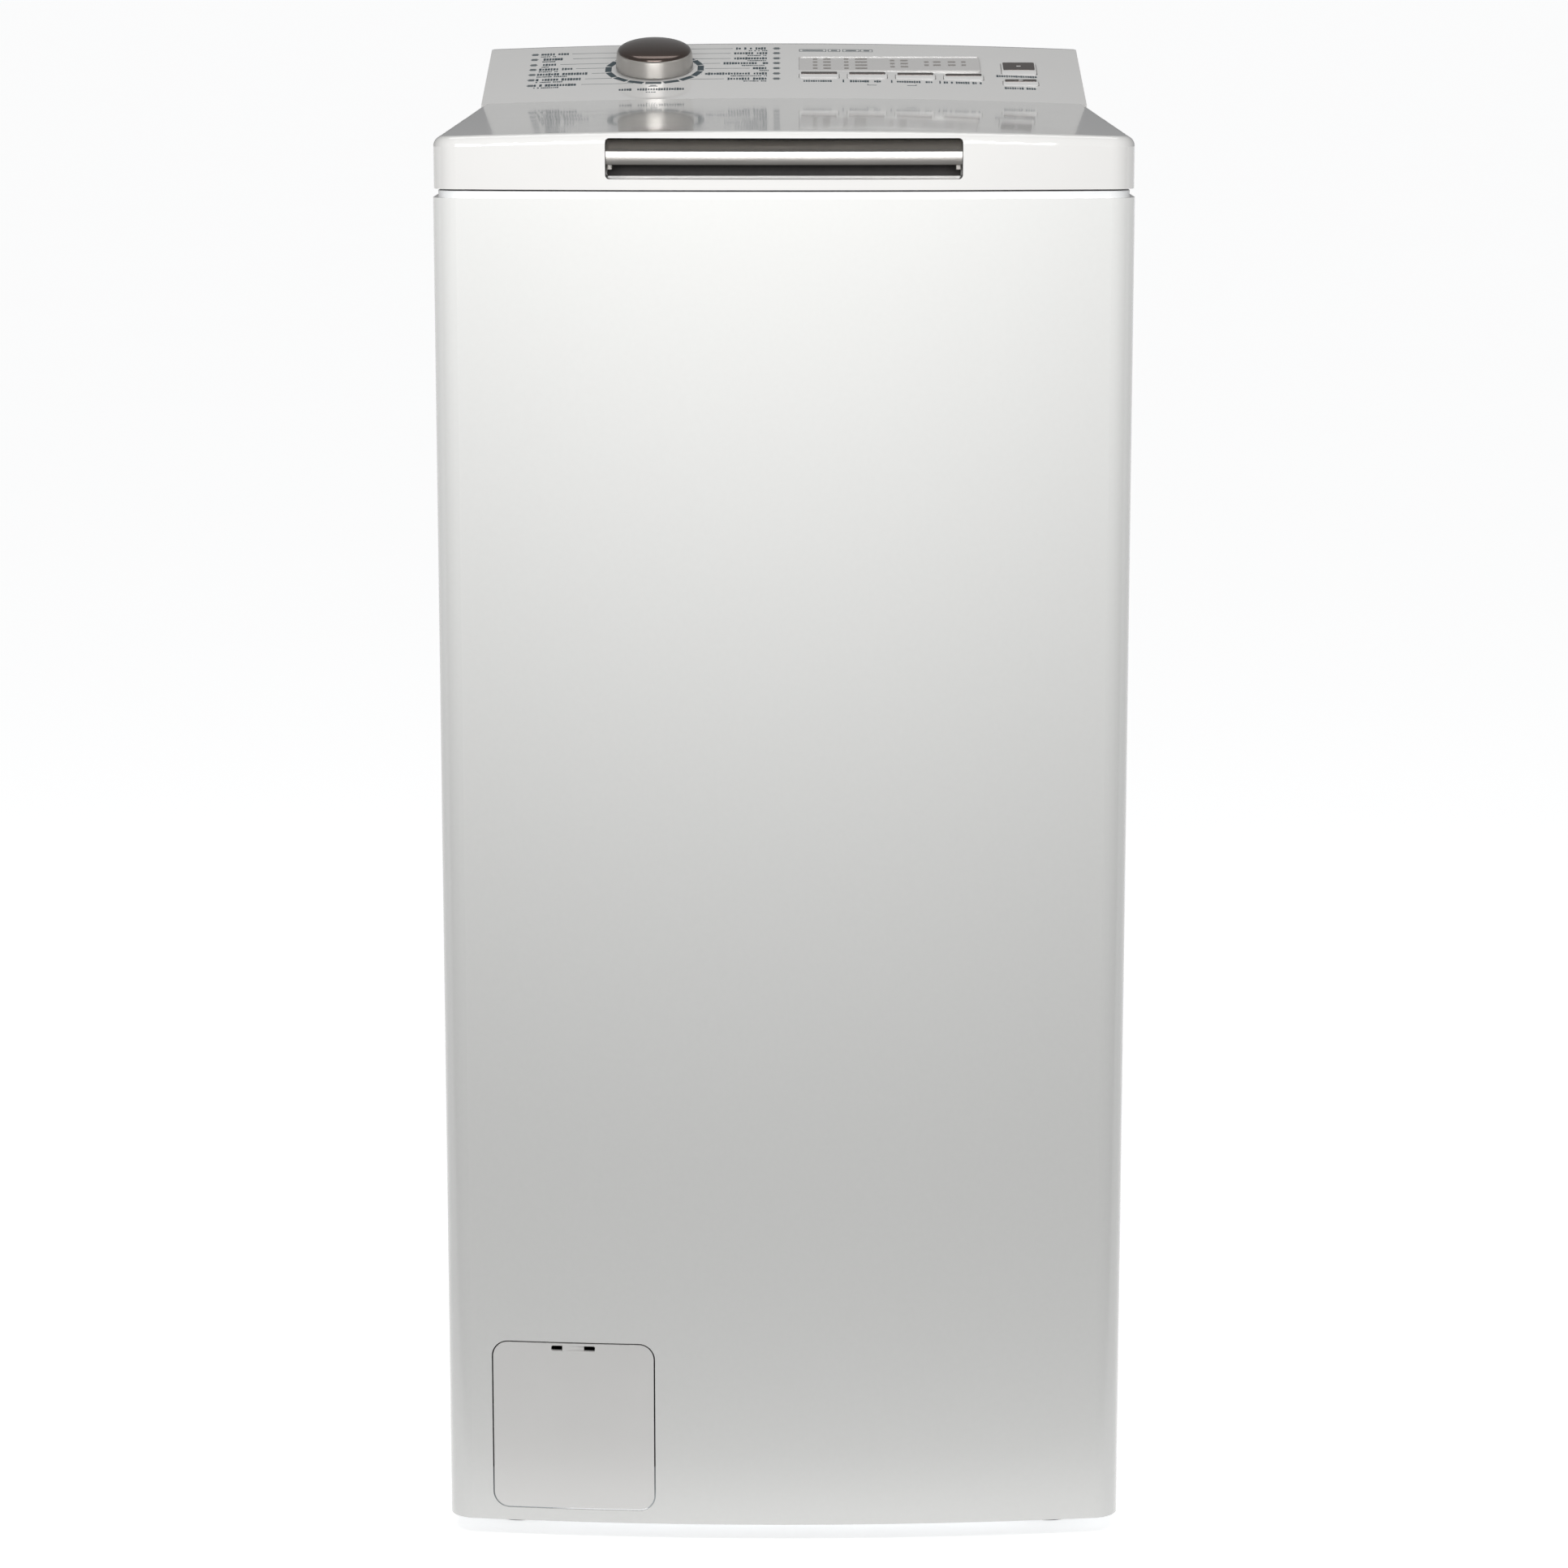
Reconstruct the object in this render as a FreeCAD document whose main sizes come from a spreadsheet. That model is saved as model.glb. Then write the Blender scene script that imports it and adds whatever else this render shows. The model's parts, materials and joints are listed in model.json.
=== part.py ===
import FreeCAD, Part
import math
import os
import re
import Sketcher

# A 400 mm wide top loading washing machine with a horizontal drum, as separate pieces.
# +Z is up, the front faces -Y, and X runs from the user's left to the user's right.
# The origin is on the floor, under the middle of the machine. All lengths are in millimetres.

Vector = FreeCAD.Vector

SIZES = {
    # Cabinet: the front is bowed in plan, and the sheet steel is folded round its corners.
    "width": 400,
    "front": 300,
    "rear": 288,
    "bow_radius": 1435,
    "corner_radius": 16,
    "sheet": 1,
    "panel_bottom": 12,
    "panel_top": 796,
    "wrap": 262,
    "flange": 12,
    "pan_bottom": 14,
    "pan_rim": 40,
    # Filter access door, low on the left of the front.
    "door_x": -125,
    "door_half_width": 47.8,
    "door_low": 20.6,
    "door_high": 122.6,
    "door_corner": 9,
    "door_thickness": 2.4,
    "door_gap": 0.8,
    # Top frame and the loading mouth in it.
    "frame_inset": 3,
    "frame_top": 800,
    "mouth_half_width": 134,
    "mouth_front": 173,
    "mouth_rear": 103,
    "mouth_corner": 22,
    "skirt_bottom": 766,
    # Lid: crowned from side to side, rising gently to the rear.
    "lid_bottom": 801,
    "lid_inset": 0.5,
    "lid_front_crown": 834,
    "lid_rise": 7,
    "lid_crown_radius": 4950,
    "lid_rear": 130,
    "lid_wall": 2.6,
    "lid_edge": 6,
    "lid_hinge_y": 123.7,
    "lid_hinge_z": 834.6,
    "lid_pin_radius": 1.5,
    "lid_post_x": 60,
    # Handle recess and the metal bar in it.
    "handle_half_length": 101,
    "recess_low": 807,
    "recess_high": 830,
    "recess_depth": 28,
    "bar_low": 815,
    "bar_high": 829,
    "bar_wall": 2.6,
    # Control console behind the lid.
    "console_front": 132,
    "console_lip": 840,
    "console_run": 116,
    "console_tilt": 16.4,
    "console_wall": 2.6,
    "console_round": 12,
    "console_drop": 4,
    # Controls: x is across, u is the distance up the console's slope from its lip.
    "knob_x": -87,
    "knob_u": 68,
    "knob_radius": 26,
    "knob_height": 19,
    "knob_gap": 0.9,
    "knob_shaft": 3,
    "button_fit": 0.4,
    "button_rise": 1.4,
    "button_depth": 8,
    "option_u": 50,
    "option_width": 26.5,
    "option_length": 10.5,
    "option_first_x": 23.5,
    "option_pitch": 32.2,
    "power_x": 158,
    "power_u": 72,
    "power_width": 23.5,
    "power_length": 24,
    "start_u": 41,
    "start_length": 10.5,
    "window_x": 71,
    "window_u": 77,
    "window_width": 122,
    "window_length": 31,
    # Drum, tub and suspension.
    "drum_y": -35,
    "drum_z": 430,
    "drum_radius": 222,
    "drum_half_width": 130,
    "drum_dish": 122,
    "drum_sheet": 1.2,
    "hatch_angle": 30,
    "hatch_half_width": 108,
    "tub_inner": 242,
    "tub_wall": 4,
    "tub_half_width": 150,
    "tub_flange": 254,
    "neck_top": 700,
    "hub_end": 172,
    "hub_radius": 34,
    "bearing_outer": 26,
    "bearing_bore": 12.5,
    "bearing_inner_end": 151,
    "bearing_outer_end": 166,
    "shaft_radius": 12.45,
    "sump_half_width": 90,
    "sump_front": 85,
    "sump_rear": 15,
    "sump_bottom": 156,
    "heater_y": -50,
    "heater_z": 178,
    "pin_radius": 1.25,
    "pin_ring": 225,
    "pin_angle": 30.6,
    # Drive.
    "pulley_inner": 176,
    "pulley_outer": 190,
    "pulley_radius": 125,
    "motor_y": 165,
    "motor_z": 160,
    "motor_radius": 58,
    "motor_pulley_radius": 11,
    "belt_gap": 0.3,
    "belt_thickness": 4,
    # Suspension.
    "spring_x": 178,
    "spring_low": 604,
    "spring_high": 736,
    "spring_radius": 10,
    "spring_wire": 1.6,
    "damper_x": 120,
    "damper_y": -75,
    "rod_radius": 6,
    "damper_bore": 6.35,
    # Pump and water.
    "pump_z": 70,
    "pump_radius": 30,
    "plug_radius": 23.7,
    "plug_bore": 24,
    "valve_x": 130,
    "valve_z": 720,
    "thread_radius": 13.2,
    "hose_x": -40,
    "hose_z": 172,
    "sump_hose_radius": 15,
    "sump_hose_bore": 12.05,
    "drain_hose_radius": 11,
    "drain_hose_bore": 8.5,
    "fill_hose_radius": 7,
    "fill_hose_bore": 5,
    # Feet.
    "foot_x": 160,
    "foot_front_y": -240,
    "foot_rear_y": 250,
    "foot_radius": 19,
    "foot_stem": 5,
    # Rear connections.
    "drain_x": -160,
    "drain_z": 100,
    "gland_x": -130,
    "gland_z": 170,
    "gland_bore": 4,
}

doc = FreeCAD.newDocument("washing_machine")
sheet = doc.addObject("Spreadsheet::Sheet", "Sizes")
for row, (alias, size) in enumerate(SIZES.items(), start=1):
    sheet.set("A%d" % row, alias)
    sheet.set("B%d" % row, str(size))
    sheet.setAlias("B%d" % row, alias)
doc.recompute()

PARTS = []
WORD = re.compile(r"[a-z_]+")
TURNS = {
    "x": FreeCAD.Rotation(Vector(0, 1, 0), 90),
    "y": FreeCAD.Rotation(Vector(1, 0, 0), -90),
    "z": FreeCAD.Rotation(),
}
PLANES = {"x": "YZ_Plane", "y": "XZ_Plane", "z": "XY_Plane"}


def formula(text):
    """Put the sheet's name before each of its aliases."""
    return WORD.sub(lambda word: "Sizes." + word.group() if word.group() in SIZES else word.group(),
                    str(text))


def value(text):
    result = sheet.evalExpression(formula(text))
    return float(getattr(result, "Value", result))


def bind(item, prop, text):
    item.setExpression(prop, formula(text))


def part(label, item):
    """Mark an object as one of the machine's pieces."""
    item.Label = label
    PARTS.append(item)
    return item


def move(item, x=0, y=0, z=0, turn=None):
    """Put an object's own origin at x, y, z, and turn it."""
    item.Placement = FreeCAD.Placement(Vector(), turn or FreeCAD.Rotation())
    for letter, text in zip("xyz", (x, y, z)):
        bind(item, "Placement.Base." + letter, text)
    return item


# Primitives and booleans

def block(name, x, y, z):
    """A box between the low and high values given for each axis."""
    item = doc.addObject("Part::Box", name)
    for prop, (low, high) in zip(("Length", "Width", "Height"), (x, y, z)):
        bind(item, prop, "(%s) - (%s)" % (high, low))
    return move(item, x[0], y[0], z[0])


def rod(name, axis, radius, span, centre):
    """A cylinder along an axis. centre gives the other two coordinates, in x, y, z order."""
    item = doc.addObject("Part::Cylinder", name)
    bind(item, "Radius", radius)
    bind(item, "Height", "(%s) - (%s)" % (span[1], span[0]))
    place = list(centre)
    place.insert("xyz".index(axis), span[0])
    return move(item, *place, turn=TURNS[axis])


def join(name, *pieces):
    item = doc.addObject("Part::MultiFuse", name)
    item.Shapes = list(pieces)
    return item


def cut(name, base, *tools):
    item = doc.addObject("Part::Cut", name)
    item.Base = base
    item.Tool = tools[0] if len(tools) == 1 else join(name + "_tools", *tools)
    return item


def common(name, first, second):
    item = doc.addObject("Part::Common", name)
    item.Base = first
    item.Tool = second
    return item


# PartDesign pieces

def new_body(name):
    return doc.addObject("PartDesign::Body", name)


def new_sketch(body, normal, offset=0):
    """A sketch square to an axis. offset is measured along that axis."""
    drawing = body.newObject("Sketcher::SketchObject", body.Name + "_sketch")
    plane = next(item for item in body.Origin.OriginFeatures if item.Role == PLANES[normal])
    drawing.AttachmentSupport = (plane, [""])
    drawing.MapMode = "FlatFace"
    bind(drawing, "AttachmentOffset.Base.z", "-(%s)" % offset if normal == "y" else offset)
    return drawing


def fix(drawing, kind, where, text):
    index = drawing.addConstraint(Sketcher.Constraint(kind, *where, value(text)))
    drawing.setExpression("Constraints[%d]" % index, formula(text))


def outline(drawing, steps):
    """Draw a closed outline. A step of two is a corner; a step of three between two corners makes
    their edge an arc: a point that it passes near, and its radius."""
    corners = [index for index, step in enumerate(steps) if len(step) == 2]
    edges = []
    for place, index in enumerate(corners):
        following = corners[(place + 1) % len(corners)]
        start = Vector(value(steps[index][0]), value(steps[index][1]), 0)
        end = Vector(value(steps[following][0]), value(steps[following][1]), 0)
        between = steps[(index + 1) % len(steps)]
        if len(between) == 3:
            via = Vector(value(between[0]), value(between[1]), 0)
            edge = drawing.addGeometry(Part.Arc(start, via, end), False)
            fix(drawing, "Radius", (edge,), between[2])
        else:
            edge = drawing.addGeometry(Part.LineSegment(start, end), False)
        turned = drawing.getPoint(edge, 1).distanceToPoint(start) > 1e-6
        edges.append((edge, 2, 1) if turned else (edge, 1, 2))
    for place, (edge, first, last) in enumerate(edges):
        following = edges[(place + 1) % len(edges)]
        drawing.addConstraint(Sketcher.Constraint("Coincident", edge, last, following[0], following[1]))
        corner = steps[corners[place]]
        fix(drawing, "DistanceX", (-1, 1, edge, first), corner[0])
        fix(drawing, "DistanceY", (-1, 1, edge, first), corner[1])


def rectangle(x, y):
    return [(x[0], y[0]), (x[1], y[0]), (x[1], y[1]), (x[0], y[1])]


def pad(body, drawing, length, middle=False):
    feature = body.newObject("PartDesign::Pad", body.Name + "_pad")
    feature.Profile = drawing
    feature.SideType = "Symmetric" if middle else "One side"
    bind(feature, "Length", length)
    doc.recompute()
    return feature


def spin(body, drawing, axis):
    """A full turn of a sketch about one of the body's own axes."""
    feature = body.newObject("PartDesign::Revolution", body.Name + "_turn")
    feature.Profile = drawing
    line = next(item for item in body.Origin.OriginFeatures if item.Role == axis.upper() + "_Axis")
    feature.ReferenceAxis = (line, [""])
    feature.Angle = 360
    doc.recompute()
    return feature


def soften(body, chosen, radius):
    """Fillet the edges of the body's tip for which chosen(edge) is true."""
    tip = body.Tip
    names = ["Edge%d" % (index + 1) for index, edge in enumerate(tip.Shape.Edges) if chosen(edge)]
    feature = body.newObject("PartDesign::Fillet", body.Name + "_fillet")
    feature.Base = (tip, names)
    bind(feature, "Radius", radius)
    doc.recompute()
    return feature


def runs_along(edge, axis):
    """True for a straight edge along an axis."""
    ends = [vertex.Point for vertex in edge.Vertexes]
    if len(ends) < 2:
        return False
    step = ends[1] - ends[0]
    return abs(getattr(step, axis)) > 0.999 * step.Length and edge.Curve.TypeId == "Part::GeomLine"


def extruded(name, axis, steps, span):
    """A pad of an outline along an axis, between two values."""
    body = new_body(name)
    drawing = new_sketch(body, axis, span[1] if axis == "y" else span[0])
    outline(drawing, steps)
    pad(body, drawing, "(%s) - (%s)" % (span[1], span[0]))
    return body


def rounded_block(name, x, y, z, axis, radius):
    """A box whose four edges along one axis are rounded."""
    spans = {"x": (y, z, x), "y": (x, z, y), "z": (x, y, z)}[axis]
    body = extruded(name, axis, rectangle(spans[0], spans[1]), spans[2])
    soften(body, lambda edge: runs_along(edge, axis), radius)
    return body


def turned(name, axis, steps, x=0, y=0, z=0):
    """A piece turned about an axis through x, y, z. Steps are places along the axis and radii."""
    body = new_body(name)
    drawing = new_sketch(body, "z" if axis == "x" else "y")
    outline(drawing, steps)
    spin(body, drawing, axis)
    return move(body, x, y, z)


def ring_steps(low, high, inner, outer):
    return rectangle((low, high), (inner, outer))


def stand(steps):
    """Swap an outline's two coordinates, for a piece turned about Z."""
    return [(step[1], step[0]) + tuple(step[2:]) for step in steps]


# The plan of the cabinet, lid and top frame: a bowed front with rounded corners.

def plan_steps(inset, rear):
    half = "width / 2 - (%s)" % inset
    radius = "bow_radius - (%s)" % inset
    corner = "bow_radius - front - sqrt((%s)^2 - (%s)^2)" % (radius, half)
    return [("-(%s)" % half, corner), (0, "-front + (%s)" % inset, radius), (half, corner),
            (half, rear), ("-(%s)" % half, rear)]


def front_corner(edge):
    return runs_along(edge, "z") and edge.Vertexes[0].Y < value("-wrap - 4")


def prism(name, inset, rear, z, top_edge=None):
    """A solid with the machine's plan, set in from the outside by inset."""
    body = extruded(name, "z", plan_steps(inset, rear), z)
    soften(body, front_corner, "corner_radius - min(%s; corner_radius - 2)" % inset)
    if top_edge:
        top = value(z[1])
        soften(body, lambda edge: all(abs(vertex.Z - top) < 0.01 for vertex in edge.Vertexes), top_edge)
    return body


# Cabinet

def make_front_panel():
    outside = prism("front_outside", 0, "-wrap", ("panel_bottom", "panel_top"))
    inside = prism("front_inside", "sheet", "-wrap + 1", ("panel_bottom - 1", "panel_top - sheet"))
    flange = prism("front_flange_edge", "flange", "-wrap + 1", ("panel_bottom", "panel_top + 1"))
    access = rounded_block(
        "filter_access", ("door_x - door_half_width - door_gap", "door_x + door_half_width + door_gap"),
        ("-front - 5", "-front + 20"), ("door_low - door_gap", "door_high + door_gap"),
        "y", "door_corner + door_gap")
    part("front_panel", cut("front_panel", outside, inside, flange, access))


def make_side_panels():
    outer = "width / 2"
    inner = "width / 2 - sheet"
    for label, sign in (("left_side_panel", -1), ("right_side_panel", 1)):
        steps = [(outer, "-wrap"), (outer, "rear - sheet"), (outer + " - 24", "rear - sheet"),
                 (outer + " - 24", "rear - 2 * sheet"), (inner, "rear - 2 * sheet"), (inner, "-wrap")]
        steps = [("%d * (%s)" % (sign, step[0]), step[1]) for step in steps]
        wall = extruded(label + "_wall", "z", steps, ("panel_bottom", "panel_top"))
        across = sorted((sign * value(outer + " - flange"), sign * value(inner)))
        top = block(label + "_top_flange", across, ("-wrap", "rear - 2 * sheet"),
                    ("panel_top - sheet", "panel_top"))
        across = sorted((sign * value("spring_x - 12"), sign * value(inner)))
        hanger = block(label + "_spring_hanger", across, ("drum_y - 10", "drum_y + 10"),
                       ("spring_high", "spring_high + 6"))
        part(label, join(label, wall, top, hanger))


def make_rear_panel():
    half = "width / 2 - 2"
    plate = block("rear_plate", ("-(%s)" % half, half), ("rear - sheet", "rear"),
                  ("panel_bottom", "panel_top"))
    around = ("rear - 5", "rear + 5")
    holes = [rod("valve_hole", "y", "thread_radius + 1", around, ("valve_x", "valve_z")),
             rod("drain_hole", "y", "drain_hose_radius + 0.5", around, ("drain_x", "drain_z")),
             rod("gland_hole", "y", "gland_bore + 3", around, ("gland_x", "gland_z"))]
    for index in range(8):
        low = 560 - 14 * index
        holes.append(rounded_block("vent_%d" % index, (60, 130), around, (low, low + 5), "y", 2.4))
    ribs = [block("rib_%d" % index, (x - 8, x + 8), ("rear - sheet - 3", "rear - sheet"), (150, 480))
            for index, x in enumerate((-60, 0))]
    part("rear_panel", join("rear_panel", cut("rear_drilled", plate, *holes), *ribs))
    screws = []
    for index, (x, z) in enumerate((x, z) for x in (-190, 190) for z in (60, 300, 540, 770)):
        screws.append(rod("screw_head_%d" % index, "y", 4.5, ("rear", "rear + 2.5"), (x, z)))
    part("rear_screws", join("rear_screws", *screws))


def make_base():
    half = "width / 2 - 1.5"
    steps = rectangle(("-(%s)" % half, half), ("-front + 24", "rear - 2.2"))
    tray = extruded("pan_outside", "z", steps, ("pan_bottom", "pan_rim"))
    hollow = block("pan_hollow", ("-(%s) + 2" % half, half + " - 2"), ("-front + 26", "rear - 4.2"),
                   ("pan_bottom + 2", "pan_rim + 1"))
    pan = cut("pan_tray", tray, hollow)
    bosses = [rod("boss_%d" % sign, "z", "foot_stem + 5", ("pan_bottom", "pan_rim - 5"),
                  (sign * value("foot_x"), "foot_front_y")) for sign in (-1, 1)]
    bores = [rod("boss_bore_%d" % sign, "z", "foot_stem + 0.06", ("pan_bottom - 1", "pan_rim + 1"),
                 (sign * value("foot_x"), "foot_front_y")) for sign in (-1, 1)]
    part("base_pan", cut("base_pan", join("pan_with_bosses", pan, *bosses), *bores))
    rear_feet = []
    for side, sign in (("left", -1), ("right", 1)):
        steps = [(0, 0), ("foot_radius", 0), ("foot_radius", 5), ("foot_radius - 4", 8), (10, 8),
                 (10, "pan_bottom - 0.8"), ("foot_stem", "pan_bottom - 0.8"), ("foot_stem", 44), (0, 44)]
        part("front_foot_" + side, turned("front_foot_" + side, "z", steps,
                                          sign * value("foot_x"), "foot_front_y"))
        steps = [(0, 0), ("foot_radius", 0), ("foot_radius", 6), ("foot_radius - 5", "pan_bottom"),
                 (0, "pan_bottom")]
        rear_feet.append(turned("rear_foot_" + side, "z", steps, sign * value("foot_x"), "foot_rear_y"))
    part("rear_feet", join("rear_feet", *rear_feet))


def mouth(name, wider, z):
    """A block with the loading mouth's plan, wider all round by the given amount."""
    return rounded_block(name, ("-mouth_half_width - %s" % wider, "mouth_half_width + %s" % wider),
                         ("-mouth_front - %s" % wider, "mouth_rear + %s" % wider), z,
                         "z", "mouth_corner + %s" % wider)


def make_top_frame():
    plate = prism("frame_plate", "frame_inset", "rear - 2.2", ("panel_top", "frame_top"))
    skirt = mouth("skirt_outside", 3, ("skirt_bottom", "frame_top"))
    hole = mouth("mouth_hole", 0, ("skirt_bottom - 1", "frame_top + 1"))
    nozzle = rod("fill_nozzle", "y", "fill_hose_bore", ("mouth_rear + 1", "mouth_rear + 22"), (70, 781))
    water = rod("nozzle_bore", "y", 3, ("mouth_rear - 5", "mouth_rear + 30"), (70, 781))
    slot = block("tongue_slot", (79, 101), (-274, -258), ("panel_top - 1", "frame_top + 1"))
    posts = []
    bores = []
    for sign in (-1, 1):
        x = sign * value("lid_post_x")
        posts.append(block("post_%d" % sign, (x - 4, x + 4), (118, 124.2), ("panel_top", "lid_hinge_z")))
        posts.append(rod("post_eye_%d" % sign, "x", 3.2, (x - 4, x + 4), ("lid_hinge_y", "lid_hinge_z")))
        bores.append(rod("post_bore_%d" % sign, "x", "lid_pin_radius + 0.05", (x - 5, x + 5),
                         ("lid_hinge_y", "lid_hinge_z")))
    solid = join("frame_solid", plate, skirt, nozzle, *posts)
    part("top_frame", cut("top_frame", solid, hole, water, slot, *bores))
    lock = block("lock_case", (70, 110), (-280, -236), (762, "panel_top"))
    lock_slot = block("lock_slot", (79, 101), (-274, -258), (775, 800))
    part("lid_lock", cut("lid_lock", lock, lock_slot))


# Lid

def lid_form(name, inset, rear, bottom, crown):
    """The lid's outer or inner form: plan, sloping crowned top, rounded top edge."""
    body = extruded(name, "z", plan_steps(inset, rear), (bottom, 870))
    soften(body, front_corner, "corner_radius - (%s)" % inset)
    edge_drop = "lid_crown_radius - sqrt(lid_crown_radius^2 - 210^2)"
    arch = new_body(name + "_crown")
    drawing = new_sketch(arch, "y", "-front - 5")
    outline(drawing, [(-210, "%s - (%s)" % (crown, edge_drop)), (0, crown, "lid_crown_radius"),
                      (210, "%s - (%s)" % (crown, edge_drop)), (210, 900), (-210, 900)])
    above = arch.newObject("PartDesign::Pad", name + "_above")
    above.Profile = drawing
    above.UseCustomVector = True
    above.Direction = Vector(0, value("front + lid_rear"), value("lid_rise"))
    above.AlongSketchNormal = False
    above.Length = 470
    doc.recompute()
    return cut(name + "_crowned", body, arch)


def top_rounded(name, base, radius):
    """Round the edges at the top of a lid form."""
    doc.recompute()
    item = doc.addObject("Part::Fillet", name)
    item.Base = base
    low = value("lid_bottom") + 15
    size = value(radius)
    item.Edges = [(index + 1, size, size) for index, edge in enumerate(base.Shape.Edges)
                  if all(vertex.Z > low for vertex in edge.Vertexes)]
    return item


def make_lid():
    outside = top_rounded("lid_outside", lid_form("lid_form", "lid_inset", "lid_rear", "lid_bottom",
                                                  "lid_front_crown"), "lid_edge")
    inside = lid_form("lid_cavity", "lid_inset + lid_wall", "lid_rear - lid_wall", "lid_bottom - 1",
                      "lid_front_crown - lid_wall")
    length = "handle_half_length"
    shell = cut("lid_shell", outside, inside)
    cup = block("recess_cup", ("-%s - lid_wall" % length, "%s + lid_wall" % length),
                ("-front + 1", "-front + recess_depth + lid_wall"),
                ("recess_low - lid_wall", "recess_high + 1"))
    ribs = []
    bores = []
    for sign in (-1, 1):
        x = sign * value("lid_post_x")
        for near in (x - 10, x + 7):
            ribs.append(block("rib_%d_%d" % (sign, near), (near, near + 3), (104, 129), (806, 840)))
        bores.append(rod("rib_bore_%d" % sign, "x", "lid_pin_radius", (x - 11, x + 11),
                         ("lid_hinge_y", "lid_hinge_z")))
        bores.append(block("post_way_%d" % sign, (x - 7, x + 7), (100, 133), (800, 836)))
    filled = common("lid_fittings", join("lid_fitting_blocks", cup, *ribs), outside)
    recess = rounded_block("handle_recess", ("-%s" % length, length),
                           ("-front - 5", "-front + recess_depth"), ("recess_low", "recess_high"),
                           "y", 2.5)
    part("lid_outer", cut("lid_outer", join("lid_with_ribs", shell, filled), recess, *bores))
    make_lid_lining()
    make_lid_handle()
    pins = [rod("lid_pin_%d" % sign, "x", "lid_pin_radius",
                (sign * value("lid_post_x") - 10, sign * value("lid_post_x") + 10),
                ("lid_hinge_y", "lid_hinge_z")) for sign in (-1, 1)]
    part("lid_hinge_pins", join("lid_hinge_pins", *pins))


def make_lid_lining():
    """The plastic lining under the lid, with a plug that drops into the mouth, and the tongue."""
    plate = prism("lining_plate", "lid_inset + lid_wall + 0.3", "lid_rear - lid_wall - 0.4", (801.6, 804))
    plug = mouth("lining_plug", -6, (790, 802))
    well = mouth("lining_well", -8.5, (792.5, 805))
    tongue = block("tongue", (82, 98), (-268.5, -263.5), (783, 803))
    posts = [sign * value("lid_post_x") for sign in (-1, 1)]
    ways = [block("lining_way_%d" % index, (x - 7, x + 7), (100, 130), (800, 806))
            for index, x in enumerate(posts)]
    solid = cut("lining_hollowed", join("lining_solid", plate, plug), well)
    part("lid_inner", cut("lid_inner", join("lining_with_tongue", solid, tongue), *ways))
    box = block("dispenser_outside", (-105, 105), (-130, -30), (768, 790))
    cells = [block("cell_%d" % index, (low, high), (-131, -33), (770, 788))
             for index, (low, high) in enumerate(((-103, -37), (-35, 35), (37, 103)))]
    part("dispenser_box", cut("dispenser_box", box, *cells))


def make_lid_handle():
    face = prism("bar_outside", "lid_inset + 1.5", "-240", ("bar_low", "bar_high"), 4)
    behind = prism("bar_inside", "lid_inset + 1.5 + bar_wall", "-239",
                   ("bar_low - 1", "bar_high - bar_wall"))
    reach = block("bar_reach", ("-handle_half_length", "handle_half_length"),
                  ("-front - 1", "-front + 14"), ("bar_low - 2", "bar_high + 2"))
    ends = [block("bar_end_%d" % sign, sorted((sign * value("handle_half_length"),
                                               sign * (value("handle_half_length") - 4))),
                  ("-front + 8", "-front + recess_depth"), ("bar_low - 3", "bar_high - 4"))
            for sign in (-1, 1)]
    bar = common("bar_strip", cut("bar_shell", face, behind), reach)
    part("lid_handle", join("lid_handle", bar, *ends))


# Console: a sloping panel behind the lid, crowned from side to side like the lid. Controls stand
# square to its slope.

CREST = "console_lip + console_run * tan(console_tilt)"


def console_steps(wall, drop):
    """The console's section, with its top lowered by drop."""
    crest = "%s - (%s) - (%s)" % (CREST, wall, drop)
    back = "rear - (%s)" % wall
    bend = "console_round * (1 - sqrt(0.5))"
    return [("console_front + 5.5 + (%s)" % wall, "frame_top"),
            ("console_front + 5.5 + (%s)" % wall, "console_lip - 6 - (%s) - (%s)" % (wall, drop)),
            ("console_front + 2 * (%s)" % wall, "console_lip - (%s) - (%s)" % (wall, drop)),
            ("console_front + console_run", crest),
            ("%s - console_round" % back, crest),
            ("%s - %s" % (back, bend), "%s - %s" % (crest, bend), "console_round"),
            (back, "%s - console_round" % crest),
            (back, "frame_top")]


def crowned(name, wall):
    """A solid lofted across the console, through a low section at each side and a high one between."""
    body = new_body(name)
    half = "width / 2 - 0.5 - %s" % wall
    sections = []
    for offset, drop in (("-(%s)" % half, "console_drop"), ("0", "0"), (half, "console_drop")):
        drawing = new_sketch(body, "x", offset)
        outline(drawing, console_steps(wall, drop))
        sections.append(drawing)
    feature = body.newObject("PartDesign::AdditiveLoft", name + "_loft")
    feature.Profile = sections[0]
    feature.Sections = [(drawing, [""]) for drawing in sections[1:]]
    doc.recompute()
    return body


def on_slope(item, x, u, lift=0):
    """Stand an object on the console's slope, u up from the lip, raised by lift."""
    turn = FreeCAD.Rotation(Vector(1, 0, 0), value("console_tilt"))
    lift = "(%s) - console_drop * ((%s) / (width / 2))^2" % (lift, x)
    y = "console_front + (%s) * cos(console_tilt) - (%s) * sin(console_tilt)" % (u, lift)
    z = "console_lip + (%s) * sin(console_tilt) + (%s) * cos(console_tilt)" % (u, lift)
    return move(item, x, y, z, turn)


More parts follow.
